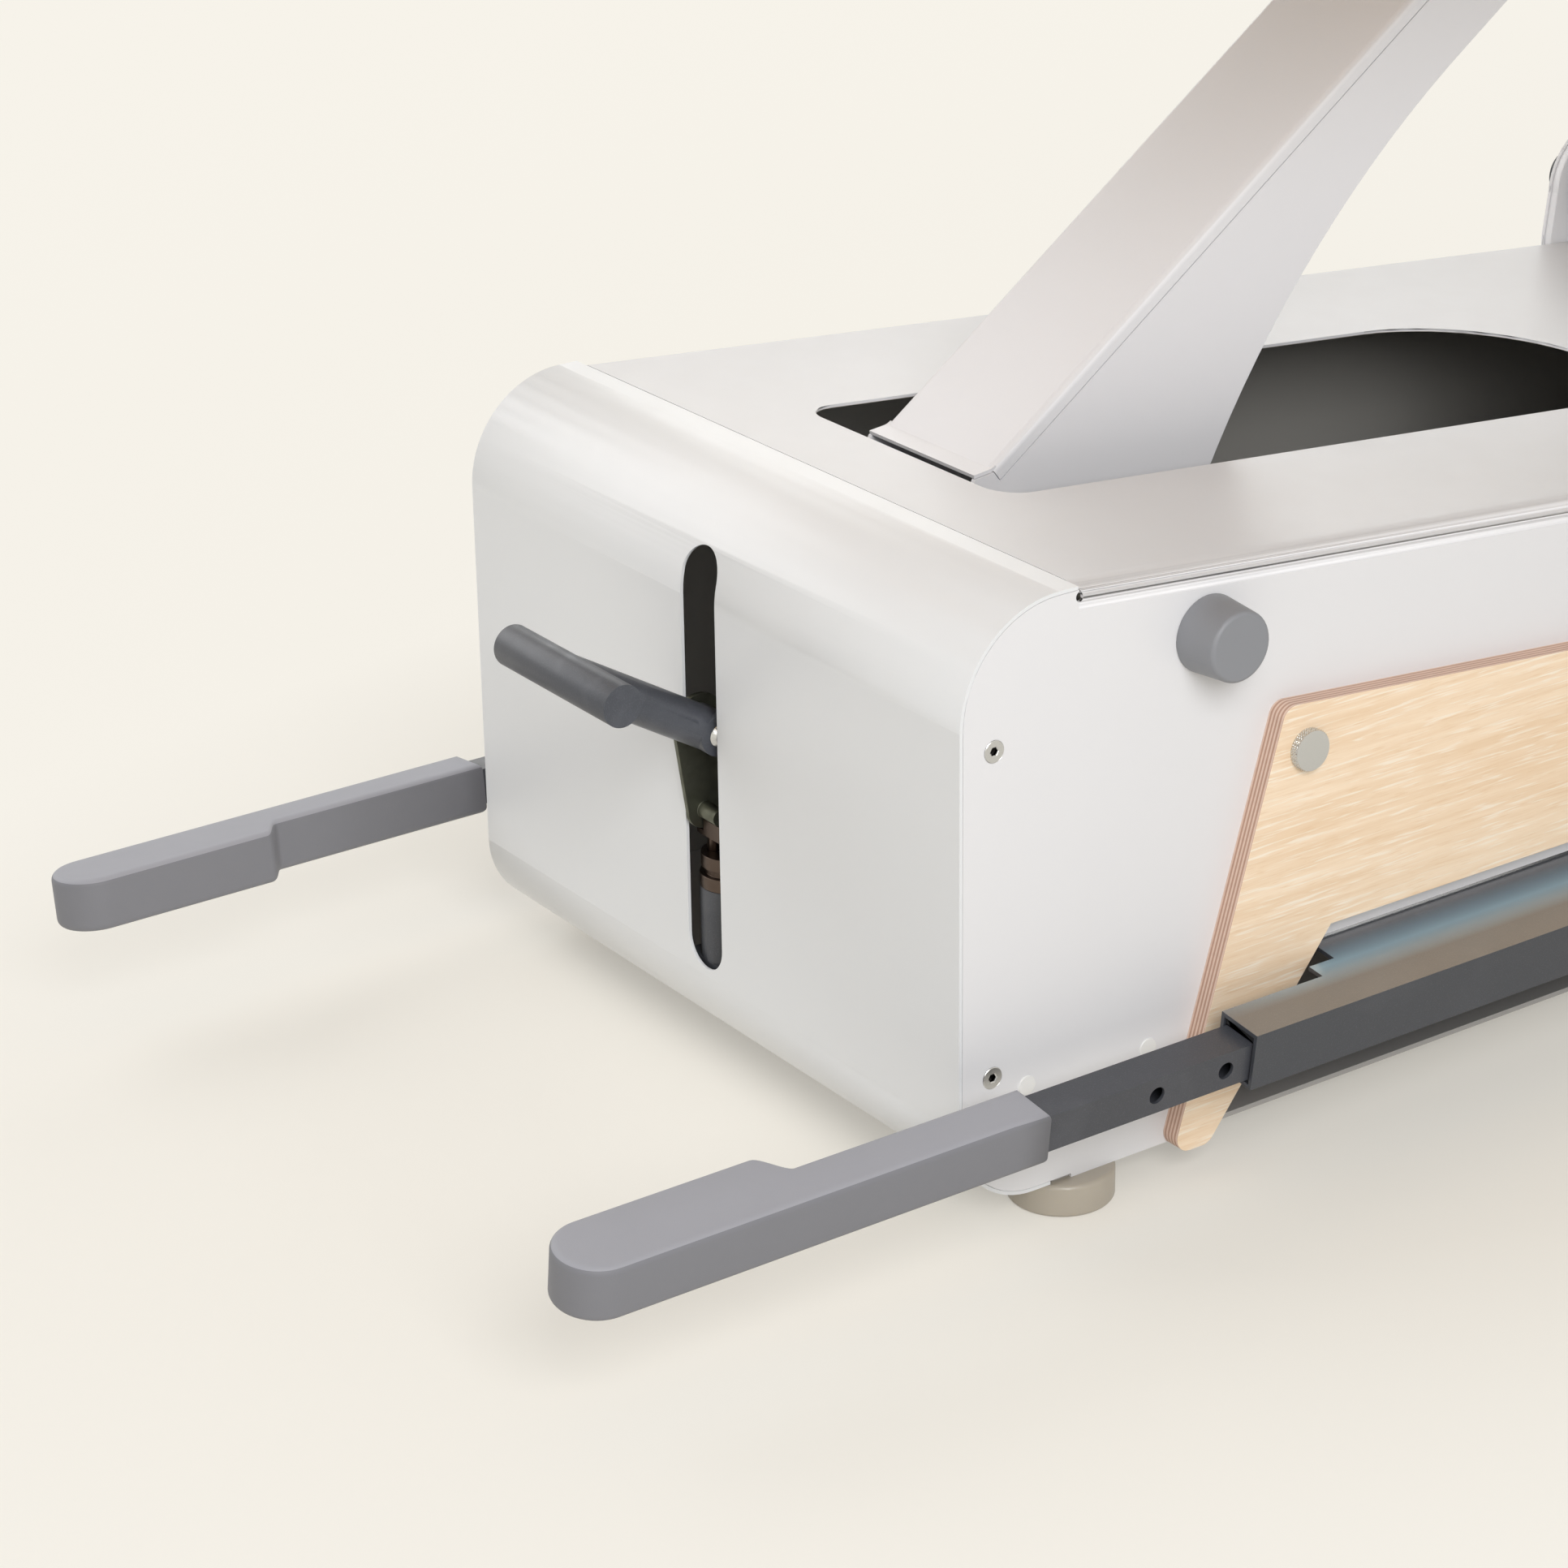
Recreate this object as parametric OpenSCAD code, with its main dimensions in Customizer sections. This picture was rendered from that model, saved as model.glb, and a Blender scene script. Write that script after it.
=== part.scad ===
// Physiotherapy treatment table on a parallelogram lift with a low rounded base.
// X runs along the table from its head end to its leg end, Y to its far side, Z up.
// The origin is on the floor, below the middle of the table top. Sizes are millimetres.

/* [Base] */
// Length of the base over both end covers
base_l = 1101; // [1051:1:1201]
// Width of the base
base_w = 470; // [450:1:520]
// Height of the base above the floor at its front seam
base_h = 357; // [345:1:375]
// Height of the base's underside above the floor
foot_h = 19; // [15:1:23]
// Fall of the base's top towards the rear, in degrees
top_fall = 4.84; // [3.5:0.01:5.5]
// Thickness of the sheet steel
sheet = 2; // [1.6:0.1:2.5]
// Outer radius of the long bends of the base's top
edge_r = 13; // [8:0.5:16]
// Depth of an end cover from its face to its seam
cover_d = 75.5; // [70:0.5:80]
// Outer radius of a cover's upper corner
cover_r = 62.5; // [50:0.5:68]
// Outer radius of a cover's lower corner
cover_low_r = 50; // [40:0.5:60]
// Width of the seam between a cover and the base
seam_gap = 0.6; // [0.4:0.1:1]
// Width of the lever slot in the front cover
slot_w = 33; // [31:0.5:38]
// Distance of the lever slot's upper end below the seam
slot_top = 32; // [28:0.5:40]
// Length of the lever slot
slot_l = 251.5; // [240:0.5:256]
// Distance from the front seam to the arm opening
mouth_x = 61.5; // [58:0.5:64]
// Length of the arm opening in the base's top
mouth_l = 526; // [500:1:560]
// Width of the arm opening in the base's top
mouth_w = 188; // [180:1:192]
// Gap between a treadle's plate and the side wall above it
treadle_gap = 1.5; // [1:0.1:4]
// Thickness of the floor pan
pan_t = 3; // [2.5:0.1:4]

/* [Feet and side panels] */
// Radius of a foot pad
foot_r = 29.6; // [25:0.1:32]
// Distance of a foot's centre from the front seam
foot_x = 6.7; // [2:0.1:20]
// Distance of a foot's centre from the base's side
foot_in = 17.4; // [16:0.1:30]
// Thickness of the plywood side panels
ply_t = 12; // [9:0.5:15]
// Radius of the plywood panels' corners
ply_r = 9; // [6:0.5:12]
// Thickness of a thumb screw's head
thumb_t = 5; // [4:0.5:8]
// Radius of a thumb screw's head
thumb_r = 12; // [10:0.5:14]

/* [Lift] */
// Distance of the arm's base pivot from the front seam
pivot_x = 86; // [84:0.5:90]
// Depth of the arm's base pivot below the front seam
pivot_drop = 45.7; // [44:0.1:48]
// Distance from the arm's base pivot to the rear link's base pivot
link_base = 750; // [720:1:780]
// Height of the rear pivot above the arm's base pivot
link_rise = 12.7; // [10:0.1:16]
// Slope of the arm's front edge at rest, in degrees
arm_slope = 36.1; // [35:0.1:37.5]
// Length of the arm between its pivots, along its front edge
arm_l = 682; // [660:1:690]
// Width of the arm
arm_w = 99; // [94:0.5:110]
// Distance of the arm's front face from its base pivot
arm_face = 29.6; // [28.5:0.1:31]
// Depth of the arm's upper part
arm_depth = 53.2; // [51:0.1:56]
// Radius of the curve of the arm's rear edge
arm_bow_r = 590; // [560:1:640]
// Radius of the lift's shafts
shaft_r = 12.5; // [11:0.5:14]
// Running clearance round a shaft
run_gap = 0.05; // [0.03:0.01:0.08]
// Wall of the pivot bushes
bush_t = 2.5; // [2:0.1:3.5]
// Wall of the tubes round the bushes
tube_t = 3.5; // [3:0.1:4]
// Radius of the ears that carry the rear links
ear_r = 44.8; // [42:0.1:48]
// Thickness of the plates behind the pivots
plate_t = 6; // [5:0.5:8]
// Thickness of a rear link
link_t = 12; // [10:0.5:14]
// Radius of a rear link's end
link_r = 33; // [30:0.5:36]
// Radius of a pivot cap where it meets the base
cap_r = 21.7; // [20:0.1:24]
// Length of a pivot cap
cap_l = 27; // [22:0.5:32]

/* [Pump and ram] */
// Radius of the lever and of its cross bar
lever_r = 12; // [11:0.5:12.5]
// Length of the lever's cross bar
bar_l = 110; // [90:1:140]
// Distance of the cross bar in front of the front seam
bar_x = 160; // [150:1:175]
// Depth of the cross bar below the front seam
bar_drop = 85; // [78:1:92]
// Closed length of the ram between its eyes
ram_closed = 178; // [170:1:190]
// Radius of the ram's barrel
ram_r = 24; // [20:0.5:28]
// Radius of the ram's rod
rod_r = 10; // [8:0.5:12]

/* [Foot bars] */
// Slope of a foot bar across the base, in degrees
bar_roll = 7; // [5:0.1:9]
// Distance of a bar's outer lower edge outside the base
bar_out = 54.6; // [52:0.1:60]
// Height of a bar's outer lower edge above the floor
bar_h = 69.8; // [66:0.1:74]
// Height of a foot bar's channel
chan_h = 34; // [32:0.5:36]
// Width of a foot bar's channel
chan_w = 29; // [28:0.5:32]
// Thickness of a foot bar's folded plate
fold_t = 2.5; // [2:0.1:3]
// Side of the square inner tube
in_s = 22; // [20:0.5:23]
// Height of a grip
grip_h = 31.7; // [30:0.1:33]
// Width of a grip's front part
grip_w = 46; // [42:0.5:50]
// Distance of a grip's tip in front of the front seam
grip_tip = 344.3; // [330:0.1:360]
// Length of a grip
grip_l = 284; // [270:1:300]
// Distance between the holes of the inner tube
hole_pitch = 47; // [40:1:50]
// Radius of the holes of the inner tube
hole_r = 5; // [4:0.5:6]

/* [Top] */
// Length of the table top
top_l = 1950; // [1900:1:2050]
// Width of the table top
top_w = 680; // [640:1:720]
// Length of the head section
head_l = 560; // [520:1:600]
// Thickness of the boards
board_t = 18; // [15:0.5:22]
// Thickness of the cushions
pad_t = 55; // [45:1:65]
// Radius of the cushions' corners in plan
pad_r = 45; // [30:1:60]
// Gap between the head cushion and the body cushion
pad_gap = 14; // [12:0.5:20]
// Lean of the two cushions' facing sides, in degrees
pad_lean = 13; // [11:0.5:16]
// Height of the long rails
rail_h = 60; // [56:1:70]
// Width of the long rails
rail_w = 30; // [25:1:35]
// Distance of the long rails' centres from the middle
rail_y = 188; // [180:1:192]
// Height of the cross tubes
cross_h = 28; // [24:1:30]
// Length of the breathing opening in the head cushion
face_l = 230; // [200:1:260]
// Width of the breathing opening in the head cushion
face_w = 110; // [90:1:130]

/* [Hidden] */
$fn = 72;
half_w = base_w/2;
front_x = -base_l/2;
rear_x = base_l/2;
seam_x = front_x + cover_d;
rear_seam = rear_x - cover_d;
fall = tan(top_fall);
function top_z(x) = base_h - (x - seam_x)*fall;
rear_h = top_z(rear_seam);
pan_top = foot_h + pan_t;
skin = 0.3;
tiny = 0.01;
wall_in = half_w - sheet;
// Lift pivots: a and c on the base, b and d on the top frame
a_x = seam_x + pivot_x;
a_z = base_h - pivot_drop;
c_x = a_x + link_base;
c_z = a_z + link_rise;
b_up = 1;
b_dx = arm_l*cos(arm_slope) - b_up*sin(arm_slope);
b_dz = arm_l*sin(arm_slope) + b_up*cos(arm_slope);
b_x = a_x + b_dx;
b_z = a_z + b_dz;
d_x = c_x + b_dx;
d_z = c_z + b_dz;
arm_half = arm_w/2;
mouth_r = 20;
bush_r = shaft_r + bush_t;
tube_r = bush_r + tube_t;
ear_in = wall_in - plate_t;
link_out = ear_in - 1;
link_in = link_out - link_t;
link_head_r = 20;
link_bar = 34;
// The arm's own frame: its rear edge, where its bow starts, and its folded front panel
arm_rear = arm_face - arm_depth;
bow_u = 400;
side_t = 3;
panel_r = 5;
flange_h = 9;
foot_u = 24.2;
curl_r = 10;
curl_a = 30;
curl_lip = 10;
spine_h = 40;
// Levels of the table top
rail_top = b_z + 34;
rail_low = rail_top - rail_h;
board_top = rail_top + board_t;
pad_top = board_top + pad_t;
hinge_x = -top_l/2 + head_l;
hinge_z = rail_top - 9;
rail_gap = 60;
knuckle_y = 188;
board_in = 5;
face_x = -top_l/2 + 190;
// Places on the side panels, from the front seam and downwards from it
thumb_x = 147;
thumb_drop = 122;
ply_foot = foot_h - 2;
ply_drop = 94.5;
ply_top_x = 127;
ply_low_x = 61;
ply_leg_w = 26;
ply_notch_x = 169.5;
ply_notch_z = 125.3;
cut_low_x = 80;
cut_high_x = 152;
screw_r = 6;
screw_x = -53.8;
screw_drops = [76.9, 261.8];
plug_r = 5.5;
foot_soft = 1.5;
plugs = [[51.4, 276], [-30.9, 273]];
// Lever, crank and pump, from the front seam and downwards from it
bolt_x = -70;
bolt_drop = 139;
pin_x = -66;
pin_drop = 192;
crank_x = -30;
crank_drop = 190;
crank_t = 3;
gland_x = -54;
gland_y = 6;
gland_top = 218;
// Ram eyes: the upper one on the arm, the lower one on the pan
eye_dx = 88;
eye_dz = -5;
ram_tilt = 15.8;
eye_x = a_x + eye_dx;
eye_z = a_z + eye_dz;
arm_drop = 28;
low_x = a_x + eye_dx*cos(arm_drop) + eye_dz*sin(arm_drop);
low_z = a_z - eye_dx*sin(arm_drop) + eye_dz*cos(arm_drop);
ram_x = low_x - ram_closed*sin(ram_tilt);
ram_z = low_z - ram_closed*cos(ram_tilt);
ram_now = norm([eye_x - ram_x, eye_z - ram_z]);
ram_lean = atan2(eye_x - ram_x, eye_z - ram_z);
pin_r = 6;
eye_slack = 3.9;
eye_w = 10.5;
// Foot bars
hinge_s = 170;
web_y = 96;
treadle_r = 7;
chan_x = 77;
plate_x = 148;
tube_s = (chan_w - in_s)/2;
tube_z = (grip_h - in_s)/2;
tube_run = 260;
slide_gap = 0.15;
grip_step = 127;
hole_x = 13.8;
// Gas spring of the head section
gas_y = 128;
gas_body = [hinge_x + 320, rail_top - 22];
gas_head = [hinge_x - 12, hinge_z - 44];
gas_len = norm(gas_body - gas_head);
gas_lean = atan2(gas_head[1] - gas_body[1], gas_head[0] - gas_body[0]);
gas_r = 9;
gas_rod_r = 4;
gas_pin_r = 4;
gas_rod_l = 130;
gas_slack = 2;
gas_eye_r = gas_pin_r + gas_slack + 4;

WHITE = [0.90, 0.90, 0.90];
DARK = [0.20, 0.21, 0.23];
GREY = [0.55, 0.56, 0.58];
STEEL = [0.72, 0.72, 0.73];
OAK = [0.94, 0.84, 0.68];
MILK = [0.86, 0.84, 0.78, 0.8];
VINYL = [0.42, 0.44, 0.47];

// Turns a drawing in x and z into a plate between two y values.
module side_plate(y0, y1) {
    translate([0, y1, 0]) rotate([90, 0, 0]) linear_extrude(y1 - y0) children();
}

// A cylinder along Y between two y values.
module rod_y(r, x, z, y0, y1) {
    translate([x, y0, z]) rotate([-90, 0, 0]) cylinder(r = r, h = y1 - y0);
}

// Draws the children on the near side and mirrored on the far side.
module both_sides() {
    children();
    mirror([0, 1, 0]) children();
}

// A bar with round ends between two points of the x and z plane.
module link_2d(p, q, rp, rq) {
    d = norm(q - p);
    t = atan2(q[1] - p[1], q[0] - p[0]);
    lean = asin((rp - rq)/d);
    up = t + 90 - lean;
    dn = t - 90 + lean;
    ease = 0.2;
    a = rp - ease;
    b = rq - ease;
    translate(p) circle(rp);
    translate(q) circle(rq);
    polygon([p + a*[cos(up), sin(up)], q + b*[cos(up), sin(up)],
        q + b*[cos(dn), sin(dn)], p + a*[cos(dn), sin(dn)]]);
}

// Outline of the base seen from its side, drawn in by t on every edge.
module base_outline(t) {
    translate([front_x + cover_r, base_h - cover_r]) circle(cover_r - t);
    translate([rear_x - cover_r, rear_h - cover_r]) circle(cover_r - t);
    for (x = [front_x + cover_low_r, rear_x - cover_low_r])
        translate([x, foot_h + cover_low_r]) circle(cover_low_r - t);
    polygon([
        [front_x + cover_low_r, foot_h + t], [front_x + t, foot_h + cover_low_r],
        [front_x + t, base_h - cover_r], [front_x + cover_r, base_h - t],
        [seam_x, base_h - t], [rear_seam, rear_h - t], [rear_x - cover_r, rear_h - t],
        [rear_x - t, rear_h - cover_r], [rear_x - t, foot_h + cover_low_r],
        [rear_x - cover_low_r, foot_h + t]]);
}

// Region of the covers: outside both seams above, and round the lower corners below.
module cover_zone(cut) {
    big = 2*base_h;
    lip = cover_low_r + 12;
    translate([front_x - big, foot_h + cover_low_r]) square([big + cover_d - cut, big]);
    translate([front_x - big, -big]) square([big + lip - cut, big + foot_h + cover_low_r]);
    translate([rear_seam + cut, foot_h + cover_low_r]) square([big, big]);
    translate([rear_x - lip + cut, -big]) square([big, big + foot_h + cover_low_r]);
}

// Opening between the legs of a side wall, with its slanting ends.
module side_cut_2d() {
    x0 = seam_x + cut_low_x;
    x1 = seam_x + cut_high_x;
    z1 = plate_z(-wall_in) + treadle_gap;
    polygon([[x0, foot_h - 5], [x1, z1], [-x1, z1], [-x0, foot_h - 5]]);
}

// Ear that carries a rear link, with its foot down in the side wall.
module ear_2d(r) {
    low = c_z - 62;
    translate([c_x, c_z]) circle(r);
    polygon([[c_x - r, c_z], [c_x + r, c_z], [c_x + r + 4, c_z - 30], [c_x + r + 4, low],
        [c_x - r - 4, low], [c_x - r - 4, c_z - 30]]);
}

// Opening in the top through which the arm rises.
module mouth_2d() {
    x0 = seam_x + mouth_x;
    x1 = x0 + mouth_l - mouth_w/2;
    for (s = [-1, 1]) translate([x0 + mouth_r, s*(mouth_w/2 - mouth_r)]) circle(mouth_r);
    translate([x0 + mouth_r, -mouth_w/2]) square([x1 - x0 - mouth_r, mouth_w]);
    translate([x0, mouth_r - mouth_w/2]) square([mouth_r + 1, mouth_w - 2*mouth_r]);
    translate([x1, 0]) circle(mouth_w/2);
}

// Cross-section of the folded top: y across and z up, with its top at zero.
module fold_2d(t) {
    drop = 2*base_h;
    for (s = [-1, 1]) translate([s*(half_w - edge_r), -edge_r]) circle(edge_r - t);
    translate([-half_w + edge_r, -edge_r]) square([base_w - 2*edge_r, edge_r - t]);
    translate([-half_w + t, -drop]) square([base_w - 2*t, drop - edge_r]);
}

module base_shell() {
    run = (rear_seam - seam_x)/cos(top_fall);
    spare = 60;
    color(WHITE) difference() {
        union() {
            // Folded top and side walls between the seams
            intersection() {
                translate([seam_x, 0, base_h]) rotate([0, top_fall, 0])
                    translate([-spare, 0, 0]) rotate([90, 0, 90]) linear_extrude(run + 2*spare)
                        difference() { fold_2d(0); fold_2d(sheet); }
                side_plate(-half_w - 1, half_w + 1) translate([seam_x, foot_h])
                    square([rear_seam - seam_x, base_h]);
            }
            // Ends of the side walls, inside the covers' bends
            both_sides() side_plate(-half_w, -wall_in) difference() {
                base_outline(sheet + 0.2);
                translate([seam_x + tiny, 0]) square([rear_seam - seam_x - 2*tiny, base_h]);
            }
            both_sides() side_plate(-half_w, -wall_in) ear_2d(ear_r);
        }
        side_plate(-half_w - 1, half_w + 1) side_cut_2d();
        translate([0, 0, foot_h]) linear_extrude(base_h) mouth_2d();
        // Slots through which the plates behind the ears rise
        both_sides() translate([c_x - ear_r - 4.5, -wall_in, top_z(c_x) - 40])
            cube([2*ear_r + 9, plate_t + 0.5, 90]);
        // Relief notches at the corners of the folded top
        both_sides() rod_y(3, seam_x + 1, base_h - 6, -half_w - 1, -wall_in + 9);
        rod_y(shaft_r, a_x, a_z, -half_w - 1, half_w + 1);
        rod_y(shaft_r, c_x, c_z, -half_w - 1, half_w + 1);
        cover_holes(screw_r + 0.2);
        both_sides() for (p = plugs, s = [-1, 1])
            rod_y(plug_r, s*(seam_x + p[0]), base_h - p[1], -half_w - 1, -wall_in + 1);
    }
}

// Rows of the cover screws, on both sides and at both ends.
module cover_holes(r) {
    for (dz = screw_drops) rod_y(r, seam_x + screw_x, base_h - dz, -half_w - 1, half_w + 1);
    for (dz = screw_drops) rod_y(r, -seam_x - screw_x, rear_screw_z(dz), -half_w - 1, half_w + 1);
}

function rear_screw_z(dz) = dz < 100 ? rear_h - dz : base_h - dz;

// Bent strip that closes one end; s is -1 at the front and 1 at the rear.
module end_cover(s) {
    tab = 26;
    difference() {
        union() {
            side_plate(-half_w, half_w) difference() {
                intersection() {
                    base_outline(0);
                    cover_zone(seam_gap);
                    translate([s < 0 ? front_x - 1 : 0, 0]) square([base_l/2 + 1, base_h + 1]);
                }
                base_outline(sheet);
            }
            // Tabs behind the side walls that take the cover's screws
            both_sides() for (dz = screw_drops) {
                z = s < 0 ? base_h - dz : rear_screw_z(dz);
                x = s < 0 ? front_x + sheet - tiny : rear_x - sheet + tiny - tab - 4;
                translate([x, -wall_in + 0.1, z - tab/2]) cube([tab + 4, sheet, tab]);
            }
        }
        both_sides() for (dz = screw_drops) {
            z = s < 0 ? base_h - dz : rear_screw_z(dz);
            rod_y(2.5, s*(-seam_x - screw_x), z, -half_w, -wall_in + 8);
        }
    }
}

module front_cover() {
    z1 = base_h - slot_top - slot_w/2;
    z0 = base_h - slot_top - slot_l + slot_w/2;
    color(WHITE) difference() {
        end_cover(-1);
        translate([front_x - 1, 0, 0]) rotate([90, 0, 90]) linear_extrude(cover_r/2) {
            translate([0, z0]) circle(slot_w/2);
            translate([0, z1]) circle(slot_w/2);
            translate([-slot_w/2, z0]) square([slot_w, z1 - z0]);
        }
    }
}

module rear_cover() {
    color(WHITE) end_cover(1);
}

// Floor pan with its webs, treadle brackets and the ram's ears.
module base_frame() {
    pan_in = wall_in - 0.2;
    pan_l = base_l - 2*cover_low_r - 28;
    web_t = 4;
    lug_t = 8;
    color(DARK) difference() {
        union() {
            translate([-pan_l/2, -pan_in, foot_h]) cube([pan_l, 2*pan_in, pan_t]);
            both_sides() translate([-pan_l/2, -web_y - web_t, pan_top - 1]) cube([pan_l, web_t, 63]);
            both_sides() for (x = bracket_x) side_tab(x);
            for (s = [-1, 1]) translate([0, s*(ram_r + 8) - lug_t/2, 0])
                side_plate(0, lug_t) link_2d([ram_x, ram_z], [ram_x, pan_top + 15], 16, 16);
        }
        both_sides() rod_x(treadle_r, hinge_point()[0], hinge_point()[1], seam_x, -seam_x);
        rod_y(pin_r, ram_x, ram_z, -60, 60);
        for (x = [-1, 1], y = [-1, 1])
            translate([x*(seam_x + foot_x), y*(half_w - foot_in), 0]) cylinder(r = 4, h = 60);
    }
}

bracket_x = [seam_x + 170, -14, -seam_x - 198];

// Cylinder along X.
module rod_x(r, y, z, x0, x1) {
    translate([x0, y, z]) rotate([0, 90, 0]) cylinder(r = r, h = x1 - x0);
}

// Point across the base of a bar's own frame: s inwards from its outer side, t upwards.
function bar_point(s, t) = [-half_w - bar_out + s*cos(bar_roll) - t*sin(bar_roll),
    bar_h + s*sin(bar_roll) + t*cos(bar_roll)];
// Height of a treadle's plate where it crosses the given y
function plate_z(y) = bar_h + chan_h*cos(bar_roll)
    + tan(bar_roll)*(y + half_w + bar_out + chan_h*sin(bar_roll));
hinge_t = chan_h - fold_t - treadle_r - 2.5;
function hinge_point() = bar_point(hinge_s, hinge_t);

// Bracket that holds a treadle shaft on its web.
module side_tab(x) {
    h = hinge_point();
    w = 28;
    translate([x, 0, 0]) rotate([90, 0, 90]) linear_extrude(w) {
        translate(h) circle(treadle_r + 2);
        polygon([[h[0] - treadle_r - 1.7, h[1]], [h[0] + treadle_r + 1.7, h[1]],
            [-web_y - 2, pan_top + 50], [-web_y - 2, pan_top - 2], [h[0] - 30, pan_top - 2]]);
    }
}

// Bearing plates behind the side walls at the two base pivots.
module pivot_plates() {
    color(WHITE) both_sides() {
        side_plate(-wall_in, -ear_in) difference() {
            translate([a_x - 38, a_z - 60]) square([80, 80]);
            translate([a_x, a_z]) circle(shaft_r);
        }
        side_plate(-wall_in, -ear_in) difference() {
            ear_2d(ear_r - 1);
            translate([c_x, c_z]) circle(shaft_r);
        }
    }
}

module front_pivot_shaft() {
    color(STEEL) {
        rod_y(shaft_r, a_x, a_z, -half_w, half_w);
        both_sides() rod_y(bush_r + 1, a_x, a_z, -ear_in, -arm_half - skin);
    }
}

module rear_pivot_shaft() {
    color(STEEL) rod_y(shaft_r, c_x, c_z, -half_w, half_w);
}

// Cap that tapers a little towards its rounded face.
module pivot_cap(r, l) {
    taper = 2.1;
    soft = 1.5;
    rotate([90, 0, 0]) rotate_extrude()
        polygon([[0, 0], [r, 0], [r - taper, l - soft], [r - taper - soft, l], [0, l]]);
}

module front_pivot_caps() {
    color(GREY) both_sides() translate([a_x, -half_w, a_z]) pivot_cap(cap_r, cap_l);
}

module rear_pivot_caps() {
    color(DARK) both_sides() translate([c_x, -half_w, c_z]) pivot_cap(cap_r - 1.7, cap_l + 1);
}

// Outline of a plywood panel, with rounded corners.
module ply_2d() {
    x_low = seam_x + ply_low_x;
    notch_x = seam_x + ply_notch_x;
    corners = [[seam_x + ply_top_x + ply_r*1.28, base_h - ply_drop - ply_r*1.1],
        [x_low + ply_r*1.3, ply_foot + ply_r], [x_low + ply_leg_w - ply_r*0.6, ply_foot + ply_r]];
    polygon([corner_off(corners[0], 165), corner_off(corners[1], 165), corner_off(corners[1], 270),
        corner_off(corners[2], 270), corner_off(corners[2], -37), [notch_x, ply_notch_z],
        [-notch_x, ply_notch_z], mirrored(corner_off(corners[2], -37)),
        mirrored(corner_off(corners[2], 270)), mirrored(corner_off(corners[1], 270)),
        mirrored(corner_off(corners[1], 165)), mirrored(corner_off(corners[0], 165)) - [0, rear_step()],
        rear_corner() + ply_r*[sin(top_fall), cos(top_fall)],
        corner_off(corners[0], 90 - top_fall)]);
    for (c = corners) translate(c) circle(ply_r);
    for (c = [corners[1], corners[2]]) translate(mirrored(c)) circle(ply_r);
    translate(rear_corner()) circle(ply_r);
    function corner_off(c, t) = c + ply_r*[cos(t), sin(t)];
    function mirrored(p) = [-p[0], p[1]];
    function rear_step() = 2*abs(corners[0][0])*fall;
    function rear_corner() = [-corners[0][0], corners[0][1] - rear_step()];
}

module side_panel(s) {
    color(OAK) side_plate(s < 0 ? -half_w - ply_t : half_w, s < 0 ? -half_w : half_w + ply_t)
        difference() {
            ply_2d();
            for (p = thumb_points()) translate(p) circle(4);
        }
}

function thumb_points() = [[seam_x + thumb_x, base_h - thumb_drop],
    [-seam_x - thumb_x, base_h - thumb_drop + 2*(seam_x + thumb_x)*fall]];

module side_panel_near() { side_panel(-1); }
module side_panel_far() { side_panel(1); }

// Knurled head on a screw that goes through the panel and the wall.
module panel_thumb_screws() {
    color(STEEL) both_sides() for (p = thumb_points()) {
        y0 = -half_w - ply_t;
        rod_y(thumb_r, p[0], p[1], y0 - thumb_t, y0);
        rod_y(4, p[0], p[1], y0 - tiny, -half_w);
    }
}

module cover_screws() {
    color(STEEL) both_sides() for (dz = screw_drops, s = [-1, 1]) {
        z = s < 0 ? base_h - dz : rear_screw_z(dz);
        rod_y(screw_r, s*(-seam_x - screw_x), z, -half_w - 0.3, -wall_in);
        rod_y(2.5, s*(-seam_x - screw_x), z, -wall_in - tiny, -wall_in + 6);
    }
}

module hole_plugs() {
    color("white") both_sides() for (p = plugs, s = [-1, 1]) {
        x = s*(seam_x + p[0]);
        rod_y(plug_r, x, base_h - p[1], -half_w - 0.8, -wall_in);
        rod_y(plug_r + 1, x, base_h - p[1], -wall_in, -wall_in + 1.5);
    }
}

// Soft feet, each with a stud up into the pan.
module foot_pads() {
    color(MILK) for (x = [-1, 1], y = [-1, 1])
        translate([x*(seam_x + foot_x), y*(half_w - foot_in), 0]) {
            rotate_extrude() polygon([[0, 0], [foot_r - foot_soft, 0], [foot_r, foot_soft],
                [foot_r, foot_h - foot_soft], [foot_r - foot_soft, foot_h], [0, foot_h]]);
            cylinder(r = 4, h = pan_top + 4);
        }
}

// Hand pump behind the lever slot.
module pump_body() {
    w = 40;
    low = pan_top;
    top = base_h - 238;
    ear_y = slot_w/2 + 0.5;
    x0 = seam_x + gland_x;
    color(DARK) difference() {
        union() {
            translate([x0 + 22, gland_y - w/2, low]) cube([61, w, 34]);
            translate([x0 - 17, gland_y - w/2, low + 33]) cube([100, w, 20]);
            translate([x0, gland_y, low + 40]) cylinder(r = 17, h = top - low - 40);
            translate([x0 + 52, gland_y, low]) cylinder(r = 26, h = top - low + 10);
            // Ear that carries the crank's fulcrum
            side_plate(ear_y, ear_y + 9)
                link_2d([seam_x + crank_x, base_h - crank_drop], [seam_x + crank_x + 26, low + 30], 11, 16);
        }
        rod_y(5, seam_x + crank_x, base_h - crank_drop, 0, 60);
        for (y = plunger_y) translate([x0 - 6, y, low + 38]) cylinder(r = 4 + run_gap, h = 200);
    }
}

plunger_y = [gland_y - 6, gland_y + 6];

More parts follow.
